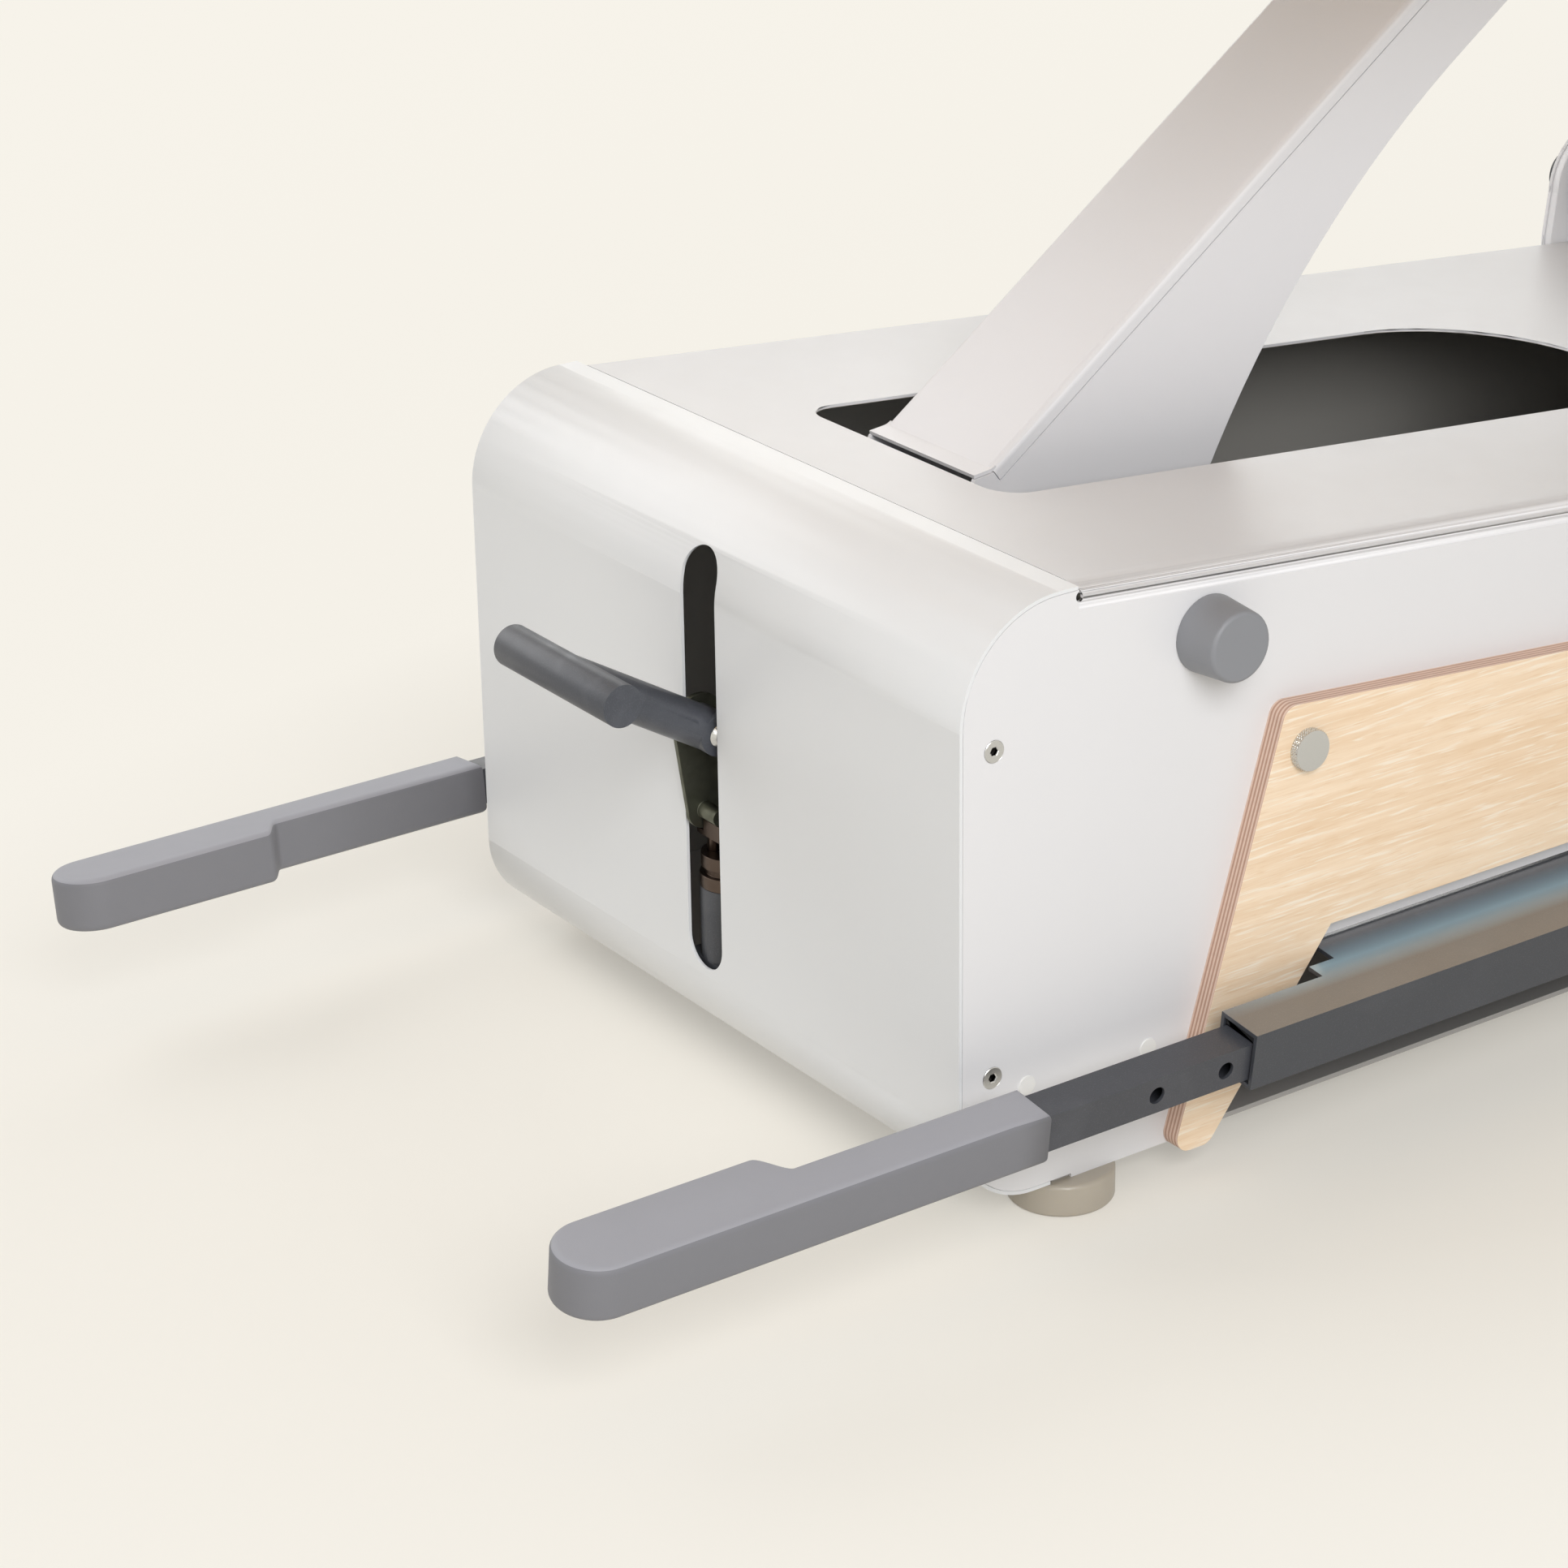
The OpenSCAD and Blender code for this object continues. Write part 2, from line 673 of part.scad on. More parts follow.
module pump_gland() {
    x0 = seam_x + gland_x;
    z0 = base_h - 238;
    color(STEEL) difference() {
        translate([x0, gland_y, 0]) union() {
            translate([0, 0, z0]) cylinder(r = 17, h = 8);
            translate([0, 0, z0 + 8]) cylinder(r = 14, h = 4);
            translate([0, 0, z0 + 12]) cylinder(r = 16, h = 238 - gland_top - 12);
        }
        for (y = plunger_y) translate([x0 - 6, y, z0 - 1]) cylinder(r = 4 + run_gap, h = 60);
    }
}

// Twin rods under the crank's pin, with their crosshead.
module pump_plunger() {
    x0 = seam_x + gland_x - 6;
    top = base_h - pin_drop - 5;
    color(STEEL) {
        for (y = plunger_y) translate([x0, y, pan_top + 60]) cylinder(r = 4, h = top - 8 - pan_top - 60);
        translate([x0 - 8, plunger_y[0] - 5, top - 10]) cube([16, plunger_y[1] - plunger_y[0] + 10, 3]);
        translate([x0 - 8, plunger_y[0] - 5, top - 8]) cube([16, lever_r + 3.5, 8]);
    }
}

// Lever bar with its cross bar; the inner end is flattened where the bolt goes through.
module pump_lever() {
    p = [seam_x - bar_x, base_h - bar_drop];
    q = [seam_x + bolt_x, base_h - bolt_drop];
    t = atan2(q[1] - p[1], q[0] - p[0]);
    color(DARK) difference() {
        union() {
            rod_y(lever_r, p[0], p[1], -bar_l/2, bar_l/2);
            translate([p[0], 0, p[1]]) rotate([0, 90 - t, 0]) cylinder(r = lever_r, h = norm(q - p));
            rod_y(lever_r, q[0], q[1], -lever_r, lever_r);
        }
        rod_y(4, q[0], q[1], -40, 40);
        translate([q[0] - 30, lever_r - 0.6, q[1] - 30]) cube([60, 5, 60]);
        translate([q[0] - 14, -lever_r - 4.4, q[1] - 14]) cube([60, 5, 28]);
    }
}

module pump_crank() {
    b = [seam_x + bolt_x + 2, base_h - bolt_drop];
    p = [seam_x + pin_x, base_h - pin_drop];
    c = [seam_x + crank_x, base_h - crank_drop];
    y0 = lever_r - 0.6;
    color(STEEL) difference() {
        union() {
            side_plate(y0, y0 + crank_t) {
                link_2d(b, p, 17, 11);
                link_2d(p, c, 11, 11);
                link_2d(b, c, 17, 11);
                polygon([b, p, c]);
            }
            rod_y(5, p[0], p[1], -4, y0 + tiny);
            rod_y(5 - run_gap, c[0], c[1], y0 + crank_t - tiny, slot_w/2 + 9.5);
        }
        rod_y(4, seam_x + bolt_x, base_h - bolt_drop, -40, 40);
    }
}

module pump_lever_bolt() {
    x = seam_x + bolt_x;
    z = base_h - bolt_drop;
    color(STEEL) {
        rod_y(4, x, z, -lever_r + 0.6, lever_r + crank_t - 0.6);
        translate([x, -lever_r + 0.6, z]) rotate([90, 0, 0]) cylinder(r1 = 7, r2 = 4, h = 3);
    }
}

// Steel pipe from the pump to the ram's foot, on the pan.
module hydraulic_line() {
    r = 4;
    y = gland_y - 14;
    x0 = seam_x + gland_x + 83;
    x1 = ram_x - 16;
    z = pan_top + r + 4;
    color(STEEL) {
        rod_x(r, y, z, x0, x1);
        rod_x(r + 2.5, y, z, x0, x0 + 10);
        rod_x(r + 2.5, y, z, x1 - 10, x1);
    }
}

module ram_foot_pin() {
    color(STEEL) rod_y(pin_r, ram_x, ram_z, -ram_r - 14, ram_r + 14);
}

module treadle_shafts() {
    h = hinge_point();
    color(STEEL) both_sides() rod_x(treadle_r, h[0], h[1], seam_x + 160, -seam_x - 160);
}

// Places the children in the arm's own frame: u along its front edge, v out of its face.
module arm_frame() {
    translate([a_x, 0, a_z]) rotate([0, -arm_slope, 0]) rotate([90, 0, 0]) children();
}

// Rear edge of the arm: straight above bow_u, and a long arc below it.
function bow(u) = arm_rear - arm_bow_r + sqrt(pow(arm_bow_r, 2) - pow(max(0, bow_u - u), 2));

// Point in the arm's curled foot at the given turn, at a depth t behind its front surface.
function curl_point(turn, t) = [foot_u + 3 - (curl_r + t)*sin(turn),
    arm_face - 0.5 + curl_r - (curl_r + t)*cos(turn)];
function curl_end(t) = curl_point(curl_a, t) + curl_lip*[-cos(curl_a), sin(curl_a)];

// Outline of an arm side, with its front edge at the given distance from the pivot.
module arm_2d(face) {
    low = 110;
    boss = 27;
    ease = 0.05;
    behind = sheet + 0.5;
    start = bow_u - 8;
    difference() {
        union() {
            translate([arm_l, arm_face - arm_depth/2]) circle(arm_depth/2 - ease);
            circle(boss);
            polygon([[foot_u - 0.6, face], [arm_l, face], [arm_l, arm_rear], [start, arm_rear],
                [start, bow(low)], [low, bow(low)], [0, 1 - boss], [1 - boss, 0], [-5, boss - 2],
                curl_end(behind), curl_point(curl_a, behind), [foot_u - 0.6, arm_face - behind]]);
        }
        translate([bow_u, arm_rear - arm_bow_r]) circle(arm_bow_r, $fn = 240);
        translate([arm_l - 90, face]) square([90.3, 40]);
    }
}

// Side plate of the arm: its thin inner layer rises behind the front panel's flange.
module arm_side(s) {
    lip = 1;
    color(WHITE) arm_frame() difference() {
        union() {
            translate([0, 0, s < 0 ? arm_half - side_t : -arm_half]) linear_extrude(side_t)
                arm_2d(arm_face - flange_h - 0.8);
            translate([foot_u - 4, b_up, s < 0 ? arm_half - side_t : -arm_half + side_t - lip])
                cube([arm_l - foot_u + 4, arm_face - panel_r - b_up, lip]);
        }
        cylinder(r = tube_r, h = 2*arm_w, center = true);
        translate([arm_l, b_up, 0]) cylinder(r = tube_r, h = 2*arm_w, center = true);
    }
}

module arm_side_near() { arm_side(-1); }
module arm_side_far() { arm_side(1); }

// Section of the front panel across the arm, drawn in by t.
module panel_2d(t) {
    for (s = [-1, 1]) translate([s*(arm_half - panel_r), arm_face - panel_r]) circle(panel_r - t);
    translate([-arm_half + panel_r, arm_face - panel_r]) square([arm_w - 2*panel_r, panel_r - t]);
    translate([-arm_half + t, arm_face - flange_h - t]) square([arm_w - 2*t, flange_h - panel_r + t]);
}

// Folded front panel; its foot curls forwards, behind the front edge of the opening.
module arm_front_panel() {
    turns = [0:6:curl_a];
    color(WHITE) arm_frame() {
        translate([foot_u, 0, 0]) rotate([0, 90, 0]) linear_extrude(arm_l - foot_u) difference() {
            panel_2d(0);
            panel_2d(sheet);
            translate([-arm_w, 0]) square([2*arm_w, arm_face - flange_h]);
        }
        translate([0, 0, 1 - arm_half]) linear_extrude(arm_w - 2)
            polygon(concat([for (i = turns) curl_point(i, 0)], [curl_end(0), curl_end(sheet)],
                [for (i = turns) curl_point(curl_a - i, sheet)]));
    }
}

// Box beam between the arm's sides.
module arm_spine() {
    u0 = 96;
    u1 = arm_l - 44;
    w = arm_half - side_t;
    wall = 3;
    color(WHITE) arm_frame() difference() {
        translate([u0, arm_rear + 3, -w]) cube([u1 - u0, spine_h, 2*w]);
        translate([u0 - 1, arm_rear + 3 + wall, -w + wall]) cube([u1 - u0 + 2, spine_h - 2*wall, 2*w - 2*wall]);
    }
}

module pivot_tube(u, v) {
    translate([u, v, 0]) difference() {
        cylinder(r = tube_r, h = arm_w, center = true);
        cylinder(r = bush_r, h = arm_w + 2, center = true);
    }
}

module arm_pivot_tube() { color(DARK) arm_frame() pivot_tube(0, 0); }
module arm_head_tube() { color(DARK) arm_frame() pivot_tube(arm_l, b_up); }

module arm_bushes() {
    l = 30;
    color("tan") arm_frame() for (p = [[0, 0], [arm_l, b_up]], s = [-1, 1])
        translate([p[0], p[1], s*(arm_half - l/2)]) difference() {
            cylinder(r = bush_r, h = l, center = true);
            cylinder(r = shaft_r + run_gap, h = l + 2, center = true);
        }
}

// Bar across the arm that takes the ram's upper eye.
module ram_head_pin() {
    w = arm_half - side_t;
    color(STEEL) {
        rod_y(pin_r, eye_x, eye_z, -w, w);
        both_sides() rod_y(pin_r + 5, eye_x, eye_z, -w, -eye_w - skin);
    }
}

// Barrel of the ram on its wide lower eye.
module ram_barrel() {
    top = ram_closed - 22;
    color(DARK) translate([ram_x, 0, ram_z]) rotate([0, ram_lean, 0]) difference() {
        union() {
            rod_y(14, 0, 0, -ram_r - 3.5, ram_r + 3.5);
            cylinder(r = ram_r, h = top - 6);
            translate([0, 0, top - 6.01]) cylinder(r = ram_r - 4, h = 6.01);
        }
        translate([0, 0, 26]) cylinder(r = rod_r + run_gap, h = ram_closed);
        rod_y(pin_r + run_gap, 0, 0, -2*ram_r, 2*ram_r);
    }
}

module ram_rod() {
    low = ram_now - ram_closed + 30;
    color(STEEL) translate([ram_x, 0, ram_z]) rotate([0, ram_lean, 0]) difference() {
        union() {
            translate([0, 0, low]) cylinder(r = rod_r, h = ram_now - low);
            rod_y(pin_r + eye_slack + 5, 0, ram_now, -eye_w, eye_w);
        }
        rod_y(pin_r + eye_slack, 0, ram_now, -2*eye_w, 2*eye_w);
    }
}

module rear_link(s) {
    y0 = s < 0 ? -link_out : link_in;
    color(DARK) difference() {
        side_plate(y0, y0 + link_t) {
            translate([c_x, c_z]) circle(link_r);
            translate([d_x, d_z]) circle(link_head_r);
            translate([c_x, c_z]) rotate(atan2(b_dz, b_dx)) translate([0, -link_bar/2])
                square([norm([b_dx, b_dz]), link_bar]);
        }
        for (p = [[c_x, c_z], [d_x, d_z]]) rod_y(bush_r, p[0], p[1], y0 - 1, y0 + link_t + 1);
    }
}

module rear_link_near() { rear_link(-1); }
module rear_link_far() { rear_link(1); }

// Tube that ties the two rear links together.
module rear_cross_tube() {
    f = 0.3;
    x = c_x + f*(d_x - c_x);
    z = c_z + f*(d_z - c_z);
    color(DARK) difference() {
        rod_y(19, x, z, -link_in, link_in);
        rod_y(16, x, z, -link_in - 1, link_in + 1);
    }
}

module rear_bushes() {
    color("tan") both_sides() for (p = [[c_x, c_z], [d_x, d_z]]) difference() {
        rod_y(bush_r, p[0], p[1], -link_out, -link_in);
        rod_y(shaft_r + run_gap, p[0], p[1], -link_out - 1, -link_in + 1);
    }
}

// Long rail of the top frame, a rectangular tube.
module top_rail(s) {
    wall = 3;
    x0 = hinge_x + rail_gap;
    l = top_l/2 - 40 - x0;
    y0 = s*rail_y - rail_w/2;
    color(WHITE) difference() {
        translate([x0, y0, rail_low]) cube([l, rail_w, rail_h]);
        translate([x0 - 1, y0 + wall, rail_low + wall]) cube([l + 2, rail_w - 2*wall, rail_h - 2*wall]);
        rod_y(shaft_r, b_x, b_z, y0 - 1, y0 + rail_w + 1);
        rod_y(shaft_r, d_x, d_z, y0 - 1, y0 + rail_w + 1);
    }
}

module top_rail_near() { top_rail(-1); }
module top_rail_far() { top_rail(1); }

// Folded channels across the top frame; the two end ones close the rails.
module top_cross_tubes() {
    w = 40;
    end_y = rail_y + rail_w/2;
    in_y = rail_y - rail_w/2;
    x_end = top_l/2 - 40;
    color(WHITE) {
        cross_channel(hinge_x + rail_gap - w, w, end_y, cross_h);
        cross_channel(b_x + 110, w, in_y, cross_h);
        cross_channel(d_x - 190, w, in_y, cross_h);
        cross_channel(x_end, 26, end_y, rail_h);
    }
}

module cross_channel(x, w, y, h) {
    wall = 2.5;
    translate([x, -y, rail_top - h]) difference() {
        cube([w, 2*y, h]);
        translate([wall, wall, -wall]) cube([w - 2*wall, 2*y - 2*wall, h]);
    }
}

// Shafts fixed in the rails; the thicker stretches keep their arm or links in place.
module top_front_shaft() {
    out_y = rail_y + rail_w/2;
    in_y = rail_y - rail_w/2;
    color(STEEL) {
        rod_y(shaft_r, b_x, b_z, -out_y - 3, out_y + 3);
        both_sides() rod_y(bush_r + 1, b_x, b_z, -in_y, -arm_half - skin);
    }
}

module top_rear_shaft() {
    out_y = rail_y + rail_w/2;
    color(STEEL) {
        rod_y(shaft_r, d_x, d_z, -link_out - 3, link_out + 3);
        both_sides() rod_y(bush_r + 1, d_x, d_z, -link_in + skin, -out_y);
        both_sides() rod_y(shaft_r + 3, d_x, d_z, -link_out - 4, -link_out - skin);
    }
}

module plan_2d(x0, x1, w, r0, r1) {
    for (s = [-1, 1]) {
        translate([x0 + r0, s*(w/2 - r0)]) circle(r0);
        translate([x1 - r1, s*(w/2 - r1)]) circle(r1);
    }
    polygon([[x0, -w/2 + r0], [x0 + r0, -w/2], [x1 - r1, -w/2], [x1, -w/2 + r1],
        [x1, w/2 - r1], [x1 - r1, w/2], [x0 + r0, w/2], [x0, w/2 - r0]]);
}

module body_board() {
    color(OAK) translate([0, 0, rail_top]) linear_extrude(board_t)
        plan_2d(hinge_x + pad_gap/2, top_l/2 - board_in, top_w - 2*board_in, 4, pad_r - board_in);
}

module face_2d(grow) {
    r = face_w/2 + grow;
    for (s = [-1, 1]) translate([face_x + s*(face_l - face_w)/2, 0]) circle(r);
    translate([face_x - (face_l - face_w)/2, -r]) square([face_l - face_w, 2*r]);
}

module head_board() {
    color(OAK) translate([0, 0, rail_top]) linear_extrude(board_t) difference() {
        plan_2d(-top_l/2 + board_in, hinge_x - pad_gap/2, top_w - 2*board_in, pad_r - board_in, 4);
        face_2d(4);
    }
}

// Wedge cut that leans a cushion's side away from the other cushion; s points to the cushion.
module lean_cut(s) {
    x = hinge_x + s*pad_gap/2;
    side_plate(-top_w, top_w) polygon([[x, board_top], [x + s*pad_t*tan(pad_lean), pad_top],
        [x + s*pad_t*tan(pad_lean), pad_top + 5], [x - s*50, pad_top + 5], [x - s*50, board_top - 5],
        [x, board_top - 5]]);
}

module body_cushion() {
    color(VINYL) difference() {
        translate([0, 0, board_top]) linear_extrude(pad_t)
            plan_2d(hinge_x + pad_gap/2, top_l/2, top_w, 6, pad_r);
        lean_cut(1);
    }
}

module head_cushion() {
    color(VINYL) difference() {
        translate([0, 0, board_top]) linear_extrude(pad_t) difference() {
            plan_2d(-top_l/2, hinge_x - pad_gap/2, top_w, pad_r, 6);
            face_2d(0);
        }
        lean_cut(-1);
    }
}

// Knuckles of the head hinge: the body's pair at each side, and the head's one between them.
module head_hinge_leaf() {
    color(STEEL) both_sides() for (y = [-knuckle_y - 37.5, -knuckle_y + 12.5]) difference() {
        union() {
            rod_y(8, hinge_x, hinge_z, y, y + 25);
            translate([hinge_x, y, hinge_z - 5]) cube([rail_gap - 40, 25, 10]);
        }
        rod_y(4 + run_gap, hinge_x, hinge_z, y - 1, y + 26);
    }
}

// Frame under the head board, with its hinge knuckles and the gas spring's bracket.
module head_frame() {
    x0 = -top_l/2 + 60;
    x1 = hinge_x - 20;
    h = 30;
    wall = 2.5;
    neck = [hinge_x - 50, rail_top - h];
    neck_r = 16;
    color(WHITE) {
        both_sides() difference() {
            translate([x0, -rail_y - rail_w/2, rail_top - h]) cube([x1 - x0, rail_w, h]);
            translate([x0 - 1, -rail_y - rail_w/2 + wall, rail_top - h + wall])
                cube([x1 - x0 - 5, rail_w - 2*wall, h - 2*wall]);
        }
        cross_channel(x0 - 26, 26, rail_y + rail_w/2, h);
        cross_channel(hinge_x - 74, 48, rail_y - rail_w/2, h);
        both_sides() {
            rod_y(8, hinge_x, hinge_z, -knuckle_y - 12, -knuckle_y + 12);
            rod_y(4, hinge_x, hinge_z, -knuckle_y - 38, -knuckle_y + 38);
            translate([x1 - 1, -knuckle_y - 12, hinge_z - 5]) cube([21, 24, 10]);
        }
        side_plate(gas_y + 8, gas_y + 14) {
            link_2d(gas_head, neck, 10, neck_r);
            translate([neck[0] - neck_r, neck[1]]) square([2*neck_r, h - wall/2]);
        }
        rod_y(gas_pin_r, gas_head[0], gas_head[1], gas_y - 10, gas_y + 9);
        rod_y(gas_eye_r, gas_head[0], gas_head[1], gas_y - 11, gas_y - 7);
    }
}

// Stud on the far rail that carries the gas spring's body.
module gas_spring_anchor() {
    in_y = rail_y - rail_w/2;
    color(STEEL) {
        rod_y(gas_pin_r, gas_body[0], gas_body[1], gas_y - 10, in_y);
        rod_y(gas_pin_r + 5, gas_body[0], gas_body[1], gas_y + 5 + skin, in_y);
        rod_y(gas_pin_r + 5, gas_body[0], gas_body[1], gas_y - 10, gas_y - 5 - skin);
    }
}

// Draws along the gas spring: x runs from the body's eye to the rod's eye.
module gas_frame() {
    translate([gas_body[0], gas_y, gas_body[1]]) rotate([0, -gas_lean, 0]) children();
}

module gas_spring_body() {
    l = gas_len - 70;
    color(DARK) gas_frame() difference() {
        union() {
            rod_y(8, 0, 0, -5, 5);
            rod_x(5, 0, 0, 0, 14);
            rod_x(gas_r, 0, 0, 13, l);
        }
        rod_y(gas_pin_r + run_gap, 0, 0, -20, 20);
        rod_x(gas_rod_r + run_gap, 0, 0, gas_len - gas_rod_l - 50, l + 1);
    }
}

module gas_spring_rod() {
    color(STEEL) gas_frame() difference() {
        union() {
            rod_x(gas_rod_r, 0, 0, gas_len - gas_rod_l, gas_len);
            rod_y(gas_eye_r, gas_len, 0, -5, 5);
        }
        rod_y(gas_pin_r + gas_slack, gas_len, 0, -20, 20);
    }
}

// Places the children in a bar's own frame: y inwards from its outer side, z up.
module bar_frame(s) {
    mirror([0, s < 0 ? 0 : 1, 0]) translate([0, -half_w - bar_out, bar_h]) rotate([bar_roll, 0, 0]) children();
}

// Folded treadle: the channel outside the base, its plate and the hinge tubes under it.
module treadle(s) {
    x0 = seam_x + chan_x;
    p0 = seam_x + plate_x;
    clear_x = seam_x + plate_x + 18;
    step_s = 40;
    edge = 1;
    color(DARK) bar_frame(s) difference() {
        union() {
            difference() {
                translate([x0, 0, 0]) cube([-2*x0, chan_w, chan_h]);
                translate([x0 - 1, fold_t, fold_t]) cube([-2*x0 + 2, chan_w - 2*fold_t, chan_h - 2*fold_t]);
            }
            translate([p0, chan_w - tiny, chan_h - fold_t]) cube([-2*p0, step_s - chan_w, fold_t]);
            translate([clear_x, step_s - edge, chan_h - fold_t]) cube([-2*clear_x, hinge_s - step_s + edge, fold_t]);
            for (x = hinge_runs) rod_x(treadle_r + 3, hinge_s, hinge_t, x[0], x[1]);
        }
        rod_x(treadle_r + run_gap, hinge_s, hinge_t, x0, -x0);
    }
}

hinge_runs = [for (i = [0, 1]) [bracket_x[i] + 29, bracket_x[i + 1] - 1]];

module treadle_near() { treadle(-1); }
module treadle_far() { treadle(1); }

// Plastic guides of the inner tube: one at the channel's mouth, one inside, and an end plug.
module treadle_guides(s) {
    x0 = seam_x + chan_x;
    color("black") bar_frame(s) {
        for (x = [x0 + 1.5, x0 + 110]) difference() {
            translate([x, fold_t, fold_t]) cube([28, chan_w - 2*fold_t, chan_h - 2*fold_t]);
            translate([x - 1, tube_s - slide_gap, tube_z - slide_gap])
                cube([30, in_s + 2*slide_gap, in_s + 2*slide_gap]);
        }
        translate([-x0 - 14, fold_t, fold_t]) cube([12, chan_w - 2*fold_t, chan_h - 2*fold_t]);
    }
}

module treadle_guides_near() { treadle_guides(-1); }
module treadle_guides_far() { treadle_guides(1); }

// Square inner tube with its row of holes.
module foot_tube(s) {
    wall = 2;
    x0 = seam_x - grip_tip + 60;
    x1 = seam_x + chan_x + tube_run;
    color(DARK) bar_frame(s) difference() {
        translate([x0, tube_s, tube_z]) cube([x1 - x0, in_s, in_s]);
        translate([x0 - 1, tube_s + wall, tube_z + wall]) cube([x1 - x0 + 2, in_s - 2*wall, in_s - 2*wall]);
        for (i = [0:4]) translate([seam_x + hole_x + i*hole_pitch, 0, grip_h/2])
            rotate([-90, 0, 0]) cylinder(r = hole_r, h = 60);
    }
}

module foot_tube_near() { foot_tube(-1); }
module foot_tube_far() { foot_tube(1); }

// Grip on the inner tube: wide and round at its tip, narrow behind the step.
module grip_2d() {
    x0 = seam_x - grip_tip;
    x1 = x0 + grip_l;
    step = x0 + grip_step;
    r = grip_w/2;
    translate([x0 + r, r]) circle(r);
    polygon([[x0 + r, 0], [x1, 0], [x1, chan_w], [step + 16, chan_w], [step + 12, chan_w + 1.5],
        [step + 3, grip_w - 1.5], [step, grip_w], [x0 + r, grip_w]]);
}

module foot_grip(s) {
    x0 = seam_x - grip_tip;
    color(GREY) bar_frame(s) difference() {
        linear_extrude(grip_h) grip_2d();
        translate([x0 + 60, tube_s, tube_z]) cube([grip_l, in_s, in_s]);
    }
}

module foot_grip_near() { foot_grip(-1); }
module foot_grip_far() { foot_grip(1); }

base_shell();
front_cover();
rear_cover();
base_frame();
pivot_plates();
front_pivot_shaft();
rear_pivot_shaft();
front_pivot_caps();
rear_pivot_caps();
side_panel_near();
side_panel_far();
panel_thumb_screws();
cover_screws();
hole_plugs();
foot_pads();
pump_body();
pump_gland();
hydraulic_line();
ram_foot_pin();
treadle_shafts();
arm_side_near();
arm_side_far();
arm_front_panel();
arm_spine();
arm_pivot_tube();
arm_bushes();
arm_head_tube();
ram_head_pin();
rear_link_near();
rear_link_far();
rear_cross_tube();
rear_bushes();
top_rail_near();
top_rail_far();
top_cross_tubes();
top_front_shaft();
top_rear_shaft();
body_board();
body_cushion();
head_hinge_leaf();
gas_spring_anchor();
head_board();
head_cushion();
head_frame();
gas_spring_body();
gas_spring_rod();
ram_barrel();
ram_rod();
pump_lever();
pump_crank();
pump_lever_bolt();
pump_plunger();
treadle_near();
treadle_far();
treadle_guides_near();
treadle_guides_far();
foot_tube_near();
foot_tube_far();
foot_grip_near();
foot_grip_far();
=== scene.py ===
"""Looks of a treatment table: finishes, upholstery, small fittings, lights and camera."""

import logging
import math
from dataclasses import dataclass
from enum import Enum
from typing import Callable, Optional, Sequence, Union

import bmesh
import bpy
from mathutils import Matrix, Vector


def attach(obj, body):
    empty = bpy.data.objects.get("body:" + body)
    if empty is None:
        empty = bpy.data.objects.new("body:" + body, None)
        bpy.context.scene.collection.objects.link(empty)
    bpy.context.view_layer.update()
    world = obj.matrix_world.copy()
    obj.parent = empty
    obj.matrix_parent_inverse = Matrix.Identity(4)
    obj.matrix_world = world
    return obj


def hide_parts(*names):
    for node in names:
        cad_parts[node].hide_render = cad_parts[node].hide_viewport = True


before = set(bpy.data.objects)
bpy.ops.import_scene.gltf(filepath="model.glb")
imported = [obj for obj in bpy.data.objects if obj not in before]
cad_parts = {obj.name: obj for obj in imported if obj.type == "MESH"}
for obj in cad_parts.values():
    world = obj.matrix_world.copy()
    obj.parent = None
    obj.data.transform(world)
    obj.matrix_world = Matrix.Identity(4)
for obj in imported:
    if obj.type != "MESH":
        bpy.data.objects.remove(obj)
log = logging.getLogger("treatment_table")
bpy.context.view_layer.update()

Number = Union["Field", float]
Colour = tuple[float, float, float]
Place = tuple[float, float, float]
Point = tuple[float, float]

# Sizes of the base in metres, shared by its finish and its fittings
HALF_WIDTH = 0.235
FRONT_SEAM = -0.475
SEAM_HEIGHT = 0.357
DECK_FALL = math.tan(math.radians(4.84))

# Gap that is welded, and the angle up to which neighbouring faces count as flat
WELD_GAP = 0.000004
FLAT_ANGLE = math.radians(0.6)


def plain(colour: Sequence[int]) -> Colour:
    """Linear values of a colour.

    Args:
        colour: Three display numbers from 0 to 255.

    Returns:
        The three linear values from 0 to 1.
    """
    def linear(value: float) -> float:
        """Linear value of one display number."""
        share = value / 255
        return share / 12.92 if share <= 0.04045 else ((share + 0.055) / 1.055) ** 2.4
    return tuple(linear(value) for value in colour)


class Axis(Enum):
    """Direction in which a grain or a brushing runs."""

    X = (0.04, 1.0, 1.0)
    Y = (1.0, 0.04, 1.0)


